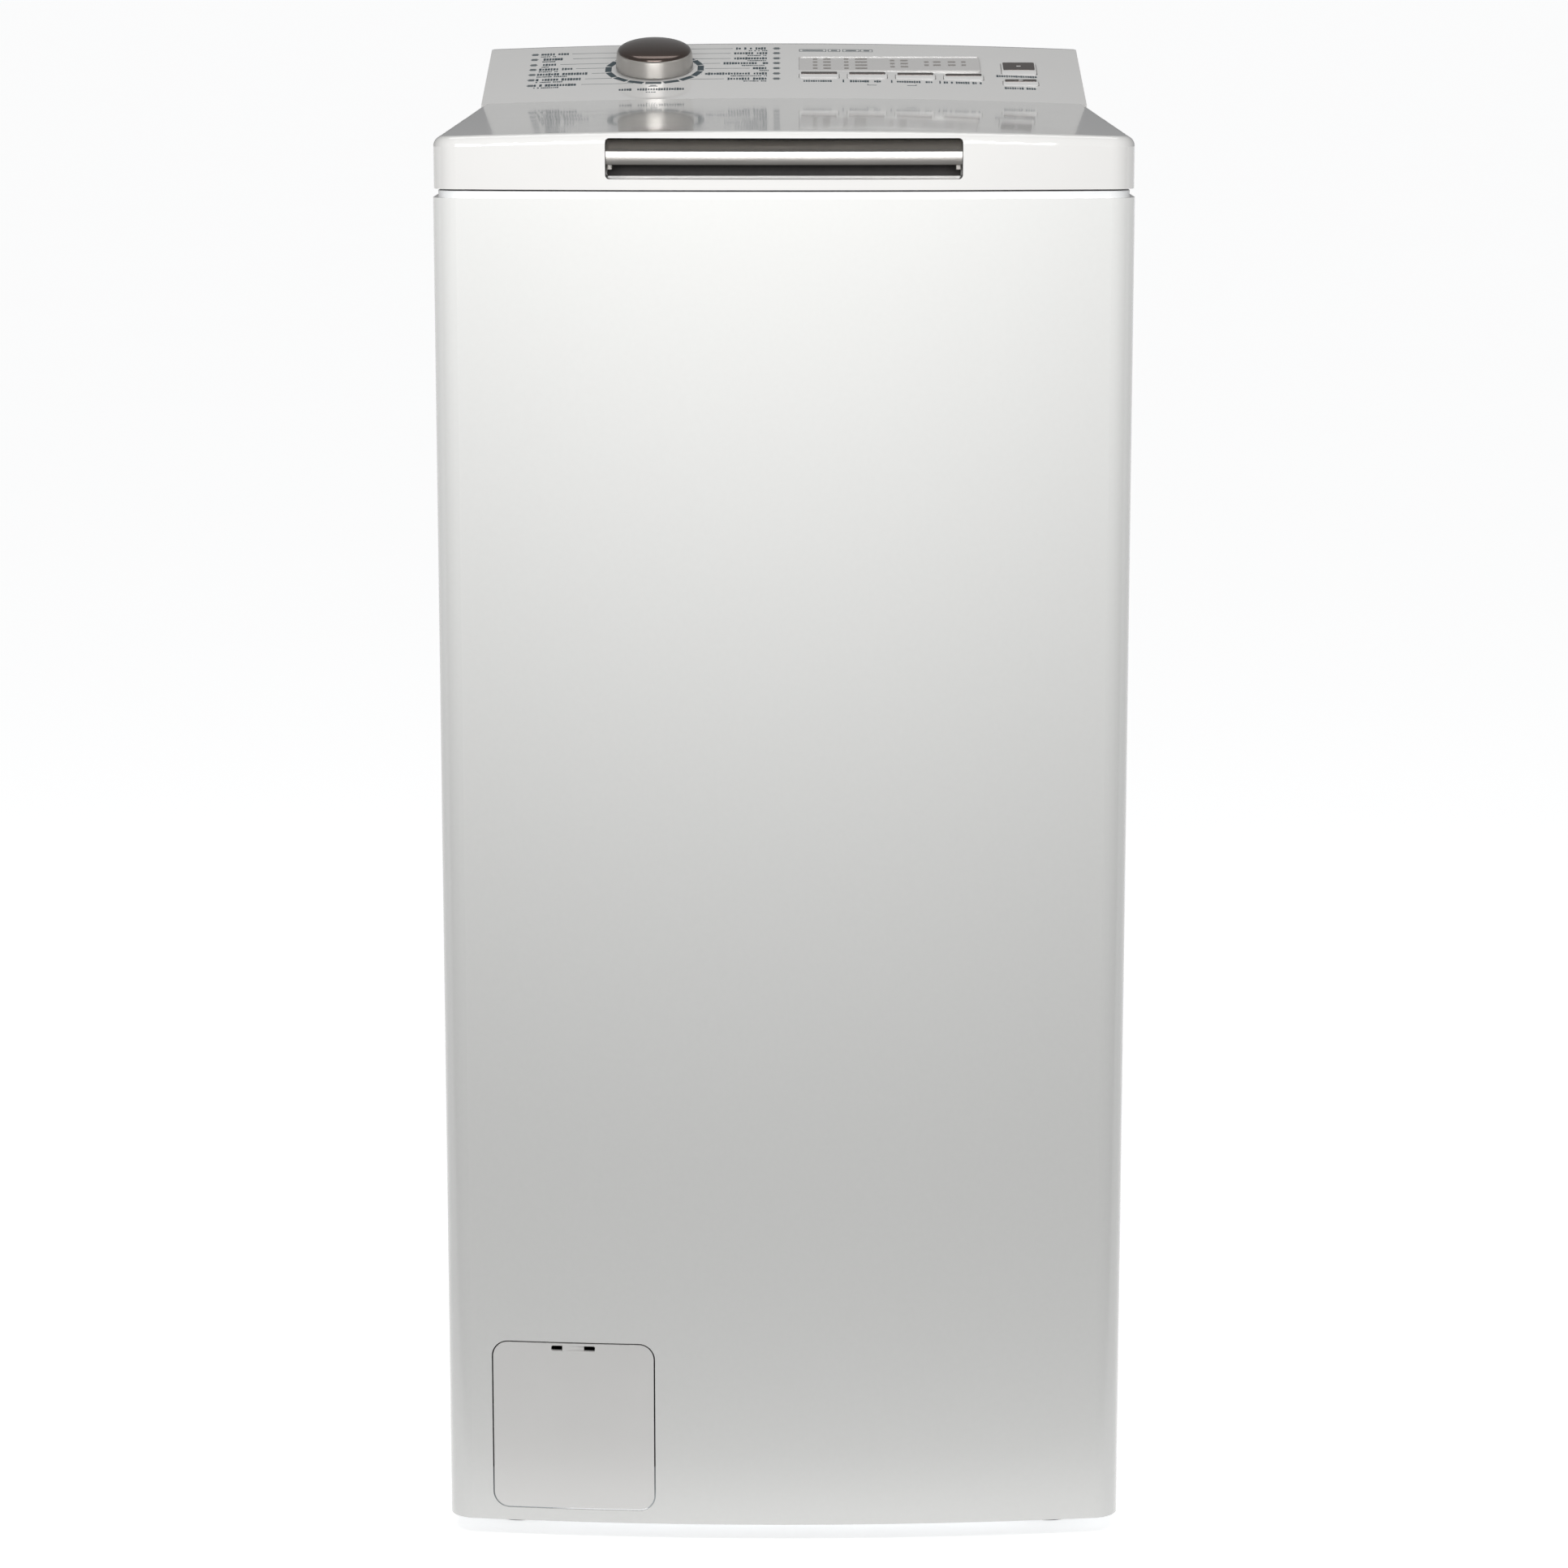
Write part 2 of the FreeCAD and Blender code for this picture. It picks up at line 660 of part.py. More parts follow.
def make_console():
    outside = crowned("console_outside", "0")
    inside = crowned("console_inside", "console_wall")
    holes = [on_slope(knob_hole(), "knob_x", "knob_u")]
    for name, x, u, across, along in buttons():
        cutter = button_block(name + "_hole", across + " + 2 * button_fit", along + " + 2 * button_fit",
                              ("-button_depth", "button_rise + 3"))
        holes.append(on_slope(cutter, x, u))
    opening = button_block("window_hole", "window_width", "window_length", (-10, 10))
    holes.append(on_slope(opening, "window_x", "window_u"))
    part("console_shell", cut("console_shell", outside, inside, *holes))
    window = button_block("display_window", "window_width - 0.2", "window_length - 0.2", (-2.4, 0.5))
    part("display_window", on_slope(window, "window_x", "window_u"))
    make_board()


def knob_hole():
    return turned("knob_hole", "z", stand(ring_steps(-10, 10, 0, "knob_shaft + 0.5")))


def button_block(name, across, along, z):
    """A button-shaped block about the Z axis, with rounded corners."""
    return rounded_block(name, ("-(%s) / 2" % across, "(%s) / 2" % across),
                         ("-(%s) / 2" % along, "(%s) / 2" % along), z, "z", 2)


def buttons():
    """Each push button: its name, its place on the slope, its width and its length."""
    rows = [("option_button_%d" % (index + 1), "option_first_x + %d * option_pitch" % index, "option_u",
             "option_width", "option_length") for index in range(4)]
    rows.append(("power_button", "power_x", "power_u", "power_width", "power_length"))
    rows.append(("start_button", "power_x", "start_u", "power_width", "start_length"))
    return rows


def make_board():
    """The control board under the console, with the knob's encoder and a switch under each button."""
    plate = block("board_plate", (-115, 180), (25, 95), (-15, -13.4))
    encoder = block("encoder_case", ("knob_x - 8", "knob_x + 8"), ("knob_u - 8", "knob_u + 8"), (-14, -8))
    bore = rod("encoder_bore", "z", "knob_shaft + 0.06", (-16, 0), ("knob_x", "knob_u"))
    switches = [block(name + "_switch", (x + " - 3", x + " + 3"), (u + " - 3", u + " + 3"), (-14, -12))
                for name, x, u, across, along in buttons()]
    display = block("display_module", ("window_x - 55", "window_x + 55"),
                    ("window_u - 13", "window_u + 13"), (-14, -5))
    board = cut("board_flat", join("board_solid", plate, encoder, display, *switches), bore)
    holder = doc.addObject("Part::Compound", "control_board")
    holder.Links = [board]
    part("control_board", on_slope(holder, 0, 0))


def make_controls():
    end = "knob_gap - button_depth - 6"
    steps = [(0, end), ("knob_shaft", end), ("knob_shaft", "knob_gap"), ("knob_radius", "knob_gap"),
             ("knob_radius - 0.8", 12), ("knob_radius - 4", "knob_height - 2"),
             ("knob_radius / 2", "knob_height - 0.5"), (0, "knob_height")]
    part("program_knob", on_slope(turned("program_knob", "z", steps), "knob_x", "knob_u"))
    for name, x, u, across, along in buttons():
        key = button_block(name, across, along, ("-button_depth", "button_rise"))
        face = value("button_rise") - 0.01
        soften(key, lambda edge: all(vertex.Z > face for vertex in edge.Vertexes), 1)
        part(name, on_slope(key, x, u))


# Tub, drum and drive. The drum turns about the X axis through drum_y, drum_z.

def about_drum(item):
    return move(item, 0, "drum_y", "drum_z")


def make_tub():
    half = "tub_half_width"
    steps = [("-hub_end", "bearing_outer"), ("-bearing_inner_end", "bearing_outer"),
             ("-bearing_inner_end", 18), ("-%s + tub_wall" % half, 18),
             ("-%s + tub_wall" % half, "tub_inner"),
             ("%s - tub_wall" % half, "tub_inner"), ("%s - tub_wall" % half, 18),
             ("bearing_inner_end", 18), ("bearing_inner_end", "bearing_outer"),
             ("hub_end", "bearing_outer"), ("hub_end", "hub_radius"),
             (half, "hub_radius"), (half, "tub_inner + tub_wall"), (6, "tub_inner + tub_wall"),
             (6, "tub_flange"), (-6, "tub_flange"), (-6, "tub_inner + tub_wall"),
             ("-" + half, "tub_inner + tub_wall"), ("-" + half, "hub_radius"), ("-hub_end", "hub_radius")]
    shell = about_drum(turned("tub_shell", "x", steps))
    interior = rod("tub_interior", "x", "tub_inner + 1", ("-%s + 1" % half, half + " - 1"),
                   ("drum_y", "drum_z"))
    neck = mouth("neck_outside", 0, ("drum_z + 100", "neck_top"))
    sump = block("sump_outside", ("-sump_half_width", "sump_half_width"), ("-sump_front", "sump_rear"),
                 ("sump_bottom", 215))
    spigot = rod("sump_spigot", "y", "sump_hose_bore - 0.05", ("-sump_front - 16", "-sump_front + 2"),
                 ("hose_x", "hose_z"))
    extras = [neck, sump, spigot]
    for sign in (-1, 1):
        extras.append(block("spring_lug_%d" % sign, sorted((sign * 147, sign * 188)),
                            ("drum_y - 10", "drum_y + 10"), ("spring_low - 8", "spring_low")))
        x = sign * value("damper_x")
        extras.append(block("damper_lug_%d" % sign, (x - 12, x + 12), ("damper_y - 12", "damper_y + 12"),
                            (172, 215)))
    for index, low in enumerate((-100, 20)):
        arm = [(45, 235), (150, 262), (190, 215), (115, 185)]
        extras.append(extruded("motor_arm_%d" % index, "x", arm, (low, low + 16)))
    added = cut("tub_extras", join("tub_extra_blocks", *extras), interior,
                rod("motor_seat", "x", "motor_radius", (-130, 60), ("motor_y", "motor_z")))
    solid = join("tub_solid", shell, added)
    hollows = [mouth("neck_inside", -4, ("drum_z + 60", "neck_top + 1")),
               block("sump_inside", ("-sump_half_width + 4", "sump_half_width - 4"),
                     ("-sump_front + 4", "sump_rear - 4"), ("sump_bottom + 4", 230)),
               rod("spigot_bore", "y", 9, ("-sump_front - 20", "-sump_front + 6"), ("hose_x", "hose_z")),
               rod("heater_entry", "x", 3.6, ("-sump_half_width - 5", 0), ("heater_y - 20", "heater_z")),
               rod("heater_exit", "x", 3.6, ("-sump_half_width - 5", 0), ("heater_y + 20", "heater_z"))]
    whole = cut("tub_whole", solid, *hollows)
    for side, span in (("left", (-200, 0)), ("right", (0, 200))):
        space = block("tub_%s_space" % side, span, (-300, 300), (100, 760))
        part("tub_%s_half" % side, common("tub_%s_half" % side, whole, space))


def make_bearings():
    rings = []
    for side, sign in (("left", -1), ("right", 1)):
        ends = sorted((sign * value("bearing_inner_end"), sign * value("bearing_outer_end")))
        steps = ring_steps(ends[0], ends[1], "bearing_bore", "bearing_outer")
        rings.append(about_drum(turned("bearing_" + side, "x", steps)))
    part("drum_bearings", join("drum_bearings", *rings))


def make_heater():
    body = new_body("heater")
    path = body.newObject("Sketcher::SketchObject", "heater_path")
    plane = next(item for item in body.Origin.OriginFeatures if item.Role == "XY_Plane")
    path.AttachmentSupport = (plane, [""])
    path.MapMode = "FlatFace"
    start = path.addGeometry(Part.LineSegment(Vector(-102, -20, 0), Vector(50, -20, 0)), False)
    bend = path.addGeometry(Part.Arc(Vector(50, -20, 0), Vector(70, 0, 0), Vector(50, 20, 0)), False)
    back = path.addGeometry(Part.LineSegment(Vector(50, 20, 0), Vector(-102, 20, 0)), False)
    path.addConstraint(Sketcher.Constraint("Coincident", start, 2, bend, 1))
    path.addConstraint(Sketcher.Constraint("Coincident", bend, 2, back, 1))
    profile = new_sketch(body, "x", -102)
    profile.addGeometry(Part.Circle(Vector(-20, 0, 0), Vector(0, 0, 1), 3.5), False)
    pipe = body.newObject("PartDesign::AdditivePipe", "heater_tube")
    pipe.Profile = profile
    pipe.Spine = (path, ["Edge1", "Edge2", "Edge3"])
    doc.recompute()
    part("heater", move(body, 0, "heater_y", "heater_z"))


def hatch_wedge(name, angle, half):
    """A wedge from the drum's axis that holds its loading hatch."""
    reach = 260
    steps = [(0, 0), ("%d * tan(%s)" % (reach, angle), reach), ("-%d * tan(%s)" % (reach, angle), reach)]
    return about_drum(extruded(name, "x", steps, ("-(%s)" % half, half)))


def make_drum():
    half = "drum_half_width"
    skin = "drum_sheet"
    outer = [("-drum_dish", 40), ("-drum_dish", 188), ("-" + half, 200), ("-" + half, "drum_radius")]
    inner = [("-drum_dish + " + skin, 40), ("-drum_dish + " + skin, 188.6),
             ("-%s + %s" % (half, skin), 200.6), ("-%s + %s" % (half, skin), "drum_radius - " + skin)]
    mirrored = [("-(%s)" % x, r) for x, r in outer]
    mirrored_inner = [("-(%s)" % x, r) for x, r in inner]
    steps = outer + mirrored[::-1] + mirrored_inner + inner[::-1]
    can = about_drum(turned("drum_can", "x", steps))
    lugs = []
    bores = []
    for sign in (-1, 1):
        pin = pin_place(sign)
        for x in (-76, 68):
            lug = block("pin_lug_%d_%d" % (sign, x), (x, x + 8), (-3, 3), (-6, 2.5))
            turn = FreeCAD.Rotation(Vector(1, 0, 0), -sign * value("pin_angle"))
            lugs.append(move(lug, x, "%s - 3 * cos(pin_angle) - %d * 6 * sin(pin_angle)" % (pin[0], sign),
                             "%s + %d * 3 * sin(pin_angle) - 6 * cos(pin_angle)" % (pin[1], sign), turn))
        bores.append(rod("pin_bore_%d" % sign, "x", "pin_radius", (-80, 80), pin))
    lugs_clear = cut("drum_lugs", join("drum_lug_blocks", *lugs),
                     rod("drum_interior", "x", "drum_radius - 0.5", (-140, 140), ("drum_y", "drum_z")))
    opened = cut("drum_opened", can, hatch_wedge("hatch", "hatch_angle", "hatch_half_width"))
    part("drum_shell", cut("drum_shell", join("drum_with_lugs", opened, lugs_clear), *bores))
    for name, angle in (("lifter_front", 90), ("lifter_bottom", 180), ("lifter_rear", 270)):
        make_lifter(name, angle)
    make_trunnions()


def pin_place(sign):
    """The place, in y and z, of the hinge pin at the front (-1) or rear (+1) of the hatch."""
    return ("drum_y + (%d) * pin_ring * sin(pin_angle)" % sign, "drum_z + pin_ring * cos(pin_angle)")


def make_lifter(name, angle):
    """A paddle that lifts the washing, riveted inside the drum."""
    base = "drum_radius - drum_sheet - 0.1"
    steps = [(-26, "sqrt((%s)^2 - 26^2)" % base), (0, base, base), (26, "sqrt((%s)^2 - 26^2)" % base),
             (8, 172), (0, 167, 9), (-8, 172)]
    body = extruded(name, "x", steps, (-112, 112))
    return part(name, move(body, 0, "drum_y", "drum_z",
                           FreeCAD.Rotation(Vector(1, 0, 0), angle)))


def make_trunnions():
    shaft = "shaft_radius"
    cone = [(142, shaft), (138, 40), (127, 150), ("drum_dish", 150), ("drum_dish", 0)]
    left = [("-pulley_outer - 3", 0), ("-pulley_outer - 3", "shaft_radius - 2.5"),
            (-175, "shaft_radius - 2.5"), (-175, shaft)]
    left += [("-(%s)" % x, r) for x, r in cone]
    part("trunnion_left", about_drum(turned("trunnion_left", "x", left)))
    part("trunnion_right", about_drum(turned("trunnion_right", "x", [(168, 0), (168, shaft)] + cone)))
    wheel = turned("pulley_disc", "x", [
        ("-pulley_outer", "shaft_radius - 2.5"), ("-pulley_outer", 24), (-185, 24), (-185, 112),
        ("-pulley_outer", 114), ("-pulley_outer", "pulley_radius"), ("-pulley_inner", "pulley_radius"),
        ("-pulley_inner", 114), (-181, 112), (-181, 24), ("-pulley_inner", 24),
        ("-pulley_inner", "shaft_radius - 2.5")])
    windows = []
    for index in range(6):
        turn = math.radians(60 * index)
        windows.append(rod("pulley_window_%d" % index, "x", 24, (-195, -170),
                           (68 * math.cos(turn), 68 * math.sin(turn))))
    part("drum_pulley", about_drum(cut("drum_pulley", wheel, *windows)))


def make_flaps():
    """Two flaps close the hatch. Each swings outwards about a pin at its own edge."""
    outer = "drum_radius"
    inner = "drum_radius - 1.4"
    pins = []
    for label, sign in (("drum_flap_front", -1), ("drum_flap_rear", 1)):
        near, far = 0.4, 29.5
        middle = (near + far) / 2

        def point(radius, angle):
            return ("%d * (%s) * sin(%s)" % (sign, radius, angle), "(%s) * cos(%s)" % (radius, angle))

        steps = [point(outer, near), point(outer, middle) + (outer,), point(outer, far),
                 point(inner, far), point(inner, middle) + (inner,), point(inner, near)]
        plate = about_drum(extruded(label + "_plate", "x", steps,
                                    ("-hatch_half_width + 0.8", "hatch_half_width - 0.8")))
        arm_steps = [point(inner, 28.4), point("pin_ring + 1.8", 29.4), point("pin_ring + 1.8", 30.5),
                     point("pin_ring - 1.6", 30.4), point("drum_radius - 0.3", 29.5), point(inner, 29.5)]
        arm = about_drum(extruded(label + "_arm", "x", arm_steps, (-66, 66)))
        barrel = rod(label + "_barrel", "x", 2.6, (-66, 66), pin_place(sign))
        bore = rod(label + "_bore", "x", "pin_radius + 0.05", (-70, 70), pin_place(sign))
        part(label, cut(label, join(label + "_solid", plate, arm, barrel), bore))
        pins.append(rod(label + "_pin", "x", "pin_radius", (-78, 78), pin_place(sign)))
    part("flap_hinge_pins", join("flap_hinge_pins", *pins))
    slide = rounded_block("flap_latch_body", (-11, 11), ("drum_y - 18", "drum_y - 3"),
                          ("drum_z + drum_radius + 0.3", "drum_z + drum_radius + 4"), "z", 3)
    part("flap_latch", slide)


def make_motor():
    stator = turned("motor_stator", "x", [
        (-115, 7.6), (-115, 40), (-108, "motor_radius"), (18, "motor_radius"), (25, 40), (25, 7.6),
        (15, 7.6), (15, 36), (-105, 36), (-105, 7.6)], 0, "motor_y", "motor_z")
    part("motor_stator", stator)
    small = "motor_pulley_radius"
    rotor = turned("motor_rotor", "x", [
        ("-pulley_outer - 2", 0), ("-pulley_outer - 2", 7.5), ("-pulley_outer", 7.5),
        ("-pulley_outer", small), ("-pulley_inner", small), ("-pulley_inner", 7.5), (-100, 7.5),
        (-100, 35.4), (10, 35.4), (10, 7.5),
        (24, 7.5), (24, 0)], 0, "motor_y", "motor_z")
    part("motor_rotor", rotor)
    outside = belt_form("belt_outside", "belt_gap + belt_thickness",
                        ("-pulley_outer + 1", "-pulley_inner - 1"))
    inside = belt_form("belt_inside", "belt_gap", ("-pulley_outer - 2", "-pulley_inner + 2"))
    part("drive_belt", cut("drive_belt", outside, inside))


def belt_form(name, offset, span):
    """A slab round both pulleys, standing off them by offset."""
    across = value("motor_y - drum_y")
    down = value("motor_z - drum_z")
    heading = math.atan2(down, across)
    lean = math.acos(value("pulley_radius - motor_pulley_radius") / math.hypot(across, down))
    large = "(pulley_radius + %s)" % offset
    small = "(motor_pulley_radius + %s)" % offset

    def point(radius, angle, y, z):
        return ("%s + %s * %.9f" % (y, radius, math.cos(angle)),
                "%s + %s * %.9f" % (z, radius, math.sin(angle)))

    steps = [point(large, heading + lean, "drum_y", "drum_z"),
             point(large, heading + math.pi, "drum_y", "drum_z") + (large,),
             point(large, heading - lean, "drum_y", "drum_z"),
             point(small, heading - lean, "motor_y", "motor_z"),
             point(small, heading, "motor_y", "motor_z") + (small,),
             point(small, heading + lean, "motor_y", "motor_z")]
    return extruded(name, "x", steps, span)


def make_counterweight():
    slab = rounded_block("weight_slab", (-115, 115), (112, 255), (520, 655), "x", 10)
    seat = rod("weight_seat", "x", "tub_flange + 0.3", (-130, 130), ("drum_y", "drum_z"))
    part("counterweight", cut("counterweight", slab, seat))


def make_suspension():
    for side, sign in (("left", -1), ("right", 1)):
        x = sign * value("spring_x")
        low = value("spring_low + spring_wire + 0.1")
        coil = Part.makeHelix(6, value("spring_high - spring_wire - 0.1") - low, value("spring_radius"))
        circle = Part.Circle(Vector(value("spring_radius"), 0, 0), Vector(0, 1, 0), value("spring_wire"))
        item = doc.addObject("Part::Feature", "suspension_spring_" + side)
        item.Shape = Part.Wire(coil).makePipeShell([Part.Wire(circle.toShape())], True, True)
        item.Placement = FreeCAD.Placement(Vector(x, value("drum_y"), low), FreeCAD.Rotation())
        part("suspension_spring_" + side, item)
        x = sign * value("damper_x")
        part("damper_rod_" + side, rod("damper_rod_" + side, "z", "rod_radius", (52, 172), (x, "damper_y")))
        tube = rod("damper_tube_" + side, "z", "rod_radius + 7", ("pan_bottom + 2", 132), (x, "damper_y"))
        bore = rod("damper_bore_" + side, "z", "damper_bore", (38, 133), (x, "damper_y"))
        part("damper_cylinder_" + side, cut("damper_cylinder_" + side, tube, bore))


def make_gasket():
    """The rubber bellows between the tub's neck and the top frame's skirt."""
    rings = [mouth("bellows_body", 2, ("neck_top", "skirt_bottom"))]
    for index in range(3):
        low = 708 + 20 * index
        rings.append(mouth("bellows_fold_%d" % index, 8, (low, low + 8)))
    part("tub_gasket", cut("tub_gasket", join("bellows_solid", *rings),
                           mouth("bellows_hole", -1, ("neck_top - 1", "skirt_bottom + 1"))))


# Water path

def hose(label, route, outer, bore, share=0.45):
    """A hose of straight runs joined by arcs. Each arc takes a share of the shorter run beside it."""
    points = [Vector(*[value(text) for text in point]) for point in route]
    edges = []
    length = 0
    here = points[0]
    for before, corner, after in zip(points, points[1:], points[2:]):
        back = before - corner
        ahead = after - corner
        trim = share * min(back.Length, ahead.Length)
        turn = math.pi - back.getAngle(ahead)
        radius = trim / math.tan(turn / 2)
        back.normalize()
        ahead.normalize()
        start = corner + back * trim
        end = corner + ahead * trim
        towards = (back + ahead).normalize()
        via = corner + towards * (radius / math.cos(turn / 2) - radius)
        edges += [Part.LineSegment(here, start).toShape(), Part.Arc(start, via, end).toShape()]
        length += (start - here).Length + radius * turn
        print("%s: arc radius %.1f mm" % (label, radius))
        here = end
    edges.append(Part.LineSegment(here, points[-1]).toShape())
    length += (points[-1] - here).Length
    spine = Part.Wire(edges)
    solids = []
    for radius in (value(outer), value(bore)):
        circle = Part.Circle(points[0], points[1] - points[0], radius)
        solids.append(spine.makePipeShell([Part.Wire(circle.toShape())], True, False))
        swept = math.pi * radius ** 2 * length
        if abs(solids[-1].Volume / swept - 1) > 0.01:
            raise ValueError(label + " was not swept at its full section")
    item = doc.addObject("Part::Feature", label)
    item.Shape = solids[0].cut(solids[1])
    return item


def make_water_path():
    part("sump_hose", hose("sump_hose", [
        ("hose_x", "-sump_front - 1", "hose_z"), ("hose_x", -230, "hose_z"),
        ("hose_x", -230, "pump_z"), (-82, -230, "pump_z")], "sump_hose_radius", "sump_hose_bore"))
    tube = hose("drain_tube", [
        (-157, -215, "pump_z"), (-181, -215, "pump_z"), (-183, -160, 74), (-181, 30, 82),
        (-172, 150, 92), ("drain_x", "rear - 60", "drain_z"), ("drain_x", "rear + 11", "drain_z")],
        "drain_hose_radius", "drain_hose_bore", 0.49)
    outlet = ("drain_x", "drain_z")
    collar = cut("drain_collar", rod("collar_disc", "y", 14, ("rear + 0.5", "rear + 2"), outlet),
                 rod("collar_bore", "y", "drain_hose_bore + 1", ("rear", "rear + 3"), outlet))
    part("drain_hose", join("drain_hose", tube, collar))
    part("fill_hose", hose("fill_hose", [
        ("valve_x", 262, 745), ("valve_x", 262, 781), ("valve_x", 205, 781), (70, 165, 781),
        (70, "mouth_rear + 4", 781)], "fill_hose_radius", "fill_hose_bore + 0.05"))
    valve = [rounded_block("valve_case", ("valve_x - 20", "valve_x + 20"), (240, "rear - sheet"),
                           ("valve_z - 20", "valve_z + 20"), "y", 6),
             rod("valve_coil", "z", 14, ("valve_z - 50", "valve_z - 20"), ("valve_x", 262)),
             rod("valve_spigot", "z", "fill_hose_bore", ("valve_z + 20", 762), ("valve_x", 262)),
             rod("valve_thread", "y", "thread_radius", ("rear - sheet", "front"), ("valve_x", "valve_z"))]
    inlet = rod("valve_bore", "y", 8, ("rear - 20", "front + 1"), ("valve_x", "valve_z"))
    part("inlet_valve", cut("inlet_valve", join("valve_solid", *valve), inlet))
    make_pump()
    gland = [rod("gland_flange", "y", 12, ("rear", "rear + 3"), ("gland_x", "gland_z")),
             rod("gland_nose", "y", 7, ("rear", "rear + 11"), ("gland_x", "gland_z")),
             rod("gland_body", "y", "gland_bore + 3", ("rear - 10", "rear"), ("gland_x", "gland_z"))]
    hole = rod("gland_way", "y", "gland_bore", ("rear - 12", "rear + 12"), ("gland_x", "gland_z"))
    part("cord_gland", cut("cord_gland", join("gland_solid", *gland), hole))


def make_pump():
    at = ("door_x", "pump_z")
    solids = [rod("filter_housing", "y", "pump_radius", (-278, -200), at),
              rod("pump_motor", "y", 25, (-200, -140), at),
              block("pump_foot", ("door_x - 18", "door_x + 18"), (-262, -180), ("pan_bottom + 2", 55)),
              rod("pump_inlet", "x", "sump_hose_bore - 0.05", (-110, -80), (-230, "pump_z")),
              rod("pump_outlet", "x", "drain_hose_bore - 0.05", (-164, -140), (-215, "pump_z"))]
    ways = [rod("filter_bore", "y", "plug_bore", (-279, -205), at),
            rod("inlet_way", "x", 9, (-110, -79), (-230, "pump_z")),
            rod("outlet_way", "x", 6, (-165, -140), (-215, "pump_z"))]
    part("drain_pump", cut("drain_pump", join("pump_solid", *solids), *ways))
    plug = [rod("plug_barrel", "y", "plug_radius", (-280, -268), at),
            rod("plug_cap", "y", 28, (-282, -278.4), at),
            rod("plug_sieve", "y", 16, (-268, -215), at),
            rounded_block("plug_grip", ("door_x - 20", "door_x + 20"), (-289, -282),
                          ("pump_z - 4", "pump_z + 4"), "y", 3)]
    part("filter_plug", cut("filter_plug", join("plug_solid", *plug),
                            rod("sieve_bore", "y", 13, (-266, -210), at)))


def make_filter_door():
    outside = prism("door_outside", 0, "-wrap", ("panel_bottom", "panel_top - 600"))
    inside = prism("door_inside", "door_thickness", "-wrap + 1", ("panel_bottom - 1", "panel_top - 599"))
    shape = rounded_block("door_shape", ("door_x - door_half_width", "door_x + door_half_width"),
                          ("-front - 5", "-front + 20"), ("door_low", "door_high"), "y", "door_corner")
    notch = rounded_block("door_notch", ("door_x - 13", "door_x + 13"), ("-front - 5", "-front + 20"),
                          ("door_high - 4.6", "door_high - 1.4"), "y", 1)
    part("filter_door", cut("filter_door", common("door_plate", cut("door_skin", outside, inside), shape),
                            notch))


for make in (make_front_panel, make_side_panels, make_rear_panel, make_base, make_top_frame, make_lid,
             make_console, make_controls, make_tub, make_bearings, make_heater, make_drum, make_flaps,
             make_motor, make_counterweight, make_suspension, make_gasket, make_water_path,
             make_filter_door):
    make()
doc.recompute()

faults = [item.Name for item in doc.Objects if "Invalid" in item.State or "Error" in item.State]
faults += [item.Label for item in PARTS if item.Shape.isNull() or not item.Shape.isValid()]
if faults:
    raise ValueError("these objects failed: " + ", ".join(faults))

os.makedirs("parts", exist_ok=True)
for item in PARTS:
    item.Shape.exportStep("parts/%s.step" % item.Label)
print("%d pieces written" % len(PARTS))
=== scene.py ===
import json
import math

import bmesh
import bpy
from mathutils import Matrix, Vector


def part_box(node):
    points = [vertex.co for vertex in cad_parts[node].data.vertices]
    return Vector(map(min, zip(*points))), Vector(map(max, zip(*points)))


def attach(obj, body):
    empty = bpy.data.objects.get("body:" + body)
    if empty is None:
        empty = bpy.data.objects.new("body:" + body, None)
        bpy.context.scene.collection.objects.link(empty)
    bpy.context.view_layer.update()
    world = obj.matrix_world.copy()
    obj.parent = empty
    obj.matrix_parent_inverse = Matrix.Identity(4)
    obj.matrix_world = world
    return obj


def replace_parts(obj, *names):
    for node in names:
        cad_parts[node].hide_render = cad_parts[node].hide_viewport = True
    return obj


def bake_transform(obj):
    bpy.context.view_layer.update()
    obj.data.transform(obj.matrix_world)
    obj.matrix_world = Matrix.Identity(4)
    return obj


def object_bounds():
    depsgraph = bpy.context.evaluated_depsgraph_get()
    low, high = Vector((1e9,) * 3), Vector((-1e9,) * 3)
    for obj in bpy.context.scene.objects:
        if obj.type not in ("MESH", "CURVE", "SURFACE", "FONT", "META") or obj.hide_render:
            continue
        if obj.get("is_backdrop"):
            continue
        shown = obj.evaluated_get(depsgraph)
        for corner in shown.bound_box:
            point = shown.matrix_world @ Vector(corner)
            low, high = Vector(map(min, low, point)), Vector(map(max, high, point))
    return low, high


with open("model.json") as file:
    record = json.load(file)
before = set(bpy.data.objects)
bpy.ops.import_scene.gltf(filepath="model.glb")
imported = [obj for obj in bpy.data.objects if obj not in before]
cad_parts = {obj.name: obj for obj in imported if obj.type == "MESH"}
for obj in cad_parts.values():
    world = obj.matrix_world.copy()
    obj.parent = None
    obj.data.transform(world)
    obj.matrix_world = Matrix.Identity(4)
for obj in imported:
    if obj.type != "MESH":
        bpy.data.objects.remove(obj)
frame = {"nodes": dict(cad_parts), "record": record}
cad_low, cad_high = (Vector(corner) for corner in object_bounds())
MM = 0.001    # metres in a millimetre: Blender works in metres


# Places and sizes, read from the frame

def box(node):
    low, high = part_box(node)
    return Vector(low), Vector(high)


def middle(node):
    low, high = box(node)
    return (low + high) / 2


def joint(name):
    return next(item for item in frame["record"]["behaviour"]["joints"] if item["name"] == name)


def drum_radius():
    """How far the flaps, which close the drum's shell, reach from its axis."""
    return box("drum_flap_front")[1].z - joint("drum_spin")["pos_m"][2]


# The bow of the front: how far back its face lies at a place across
BOW_RADIUS = 1435 * MM


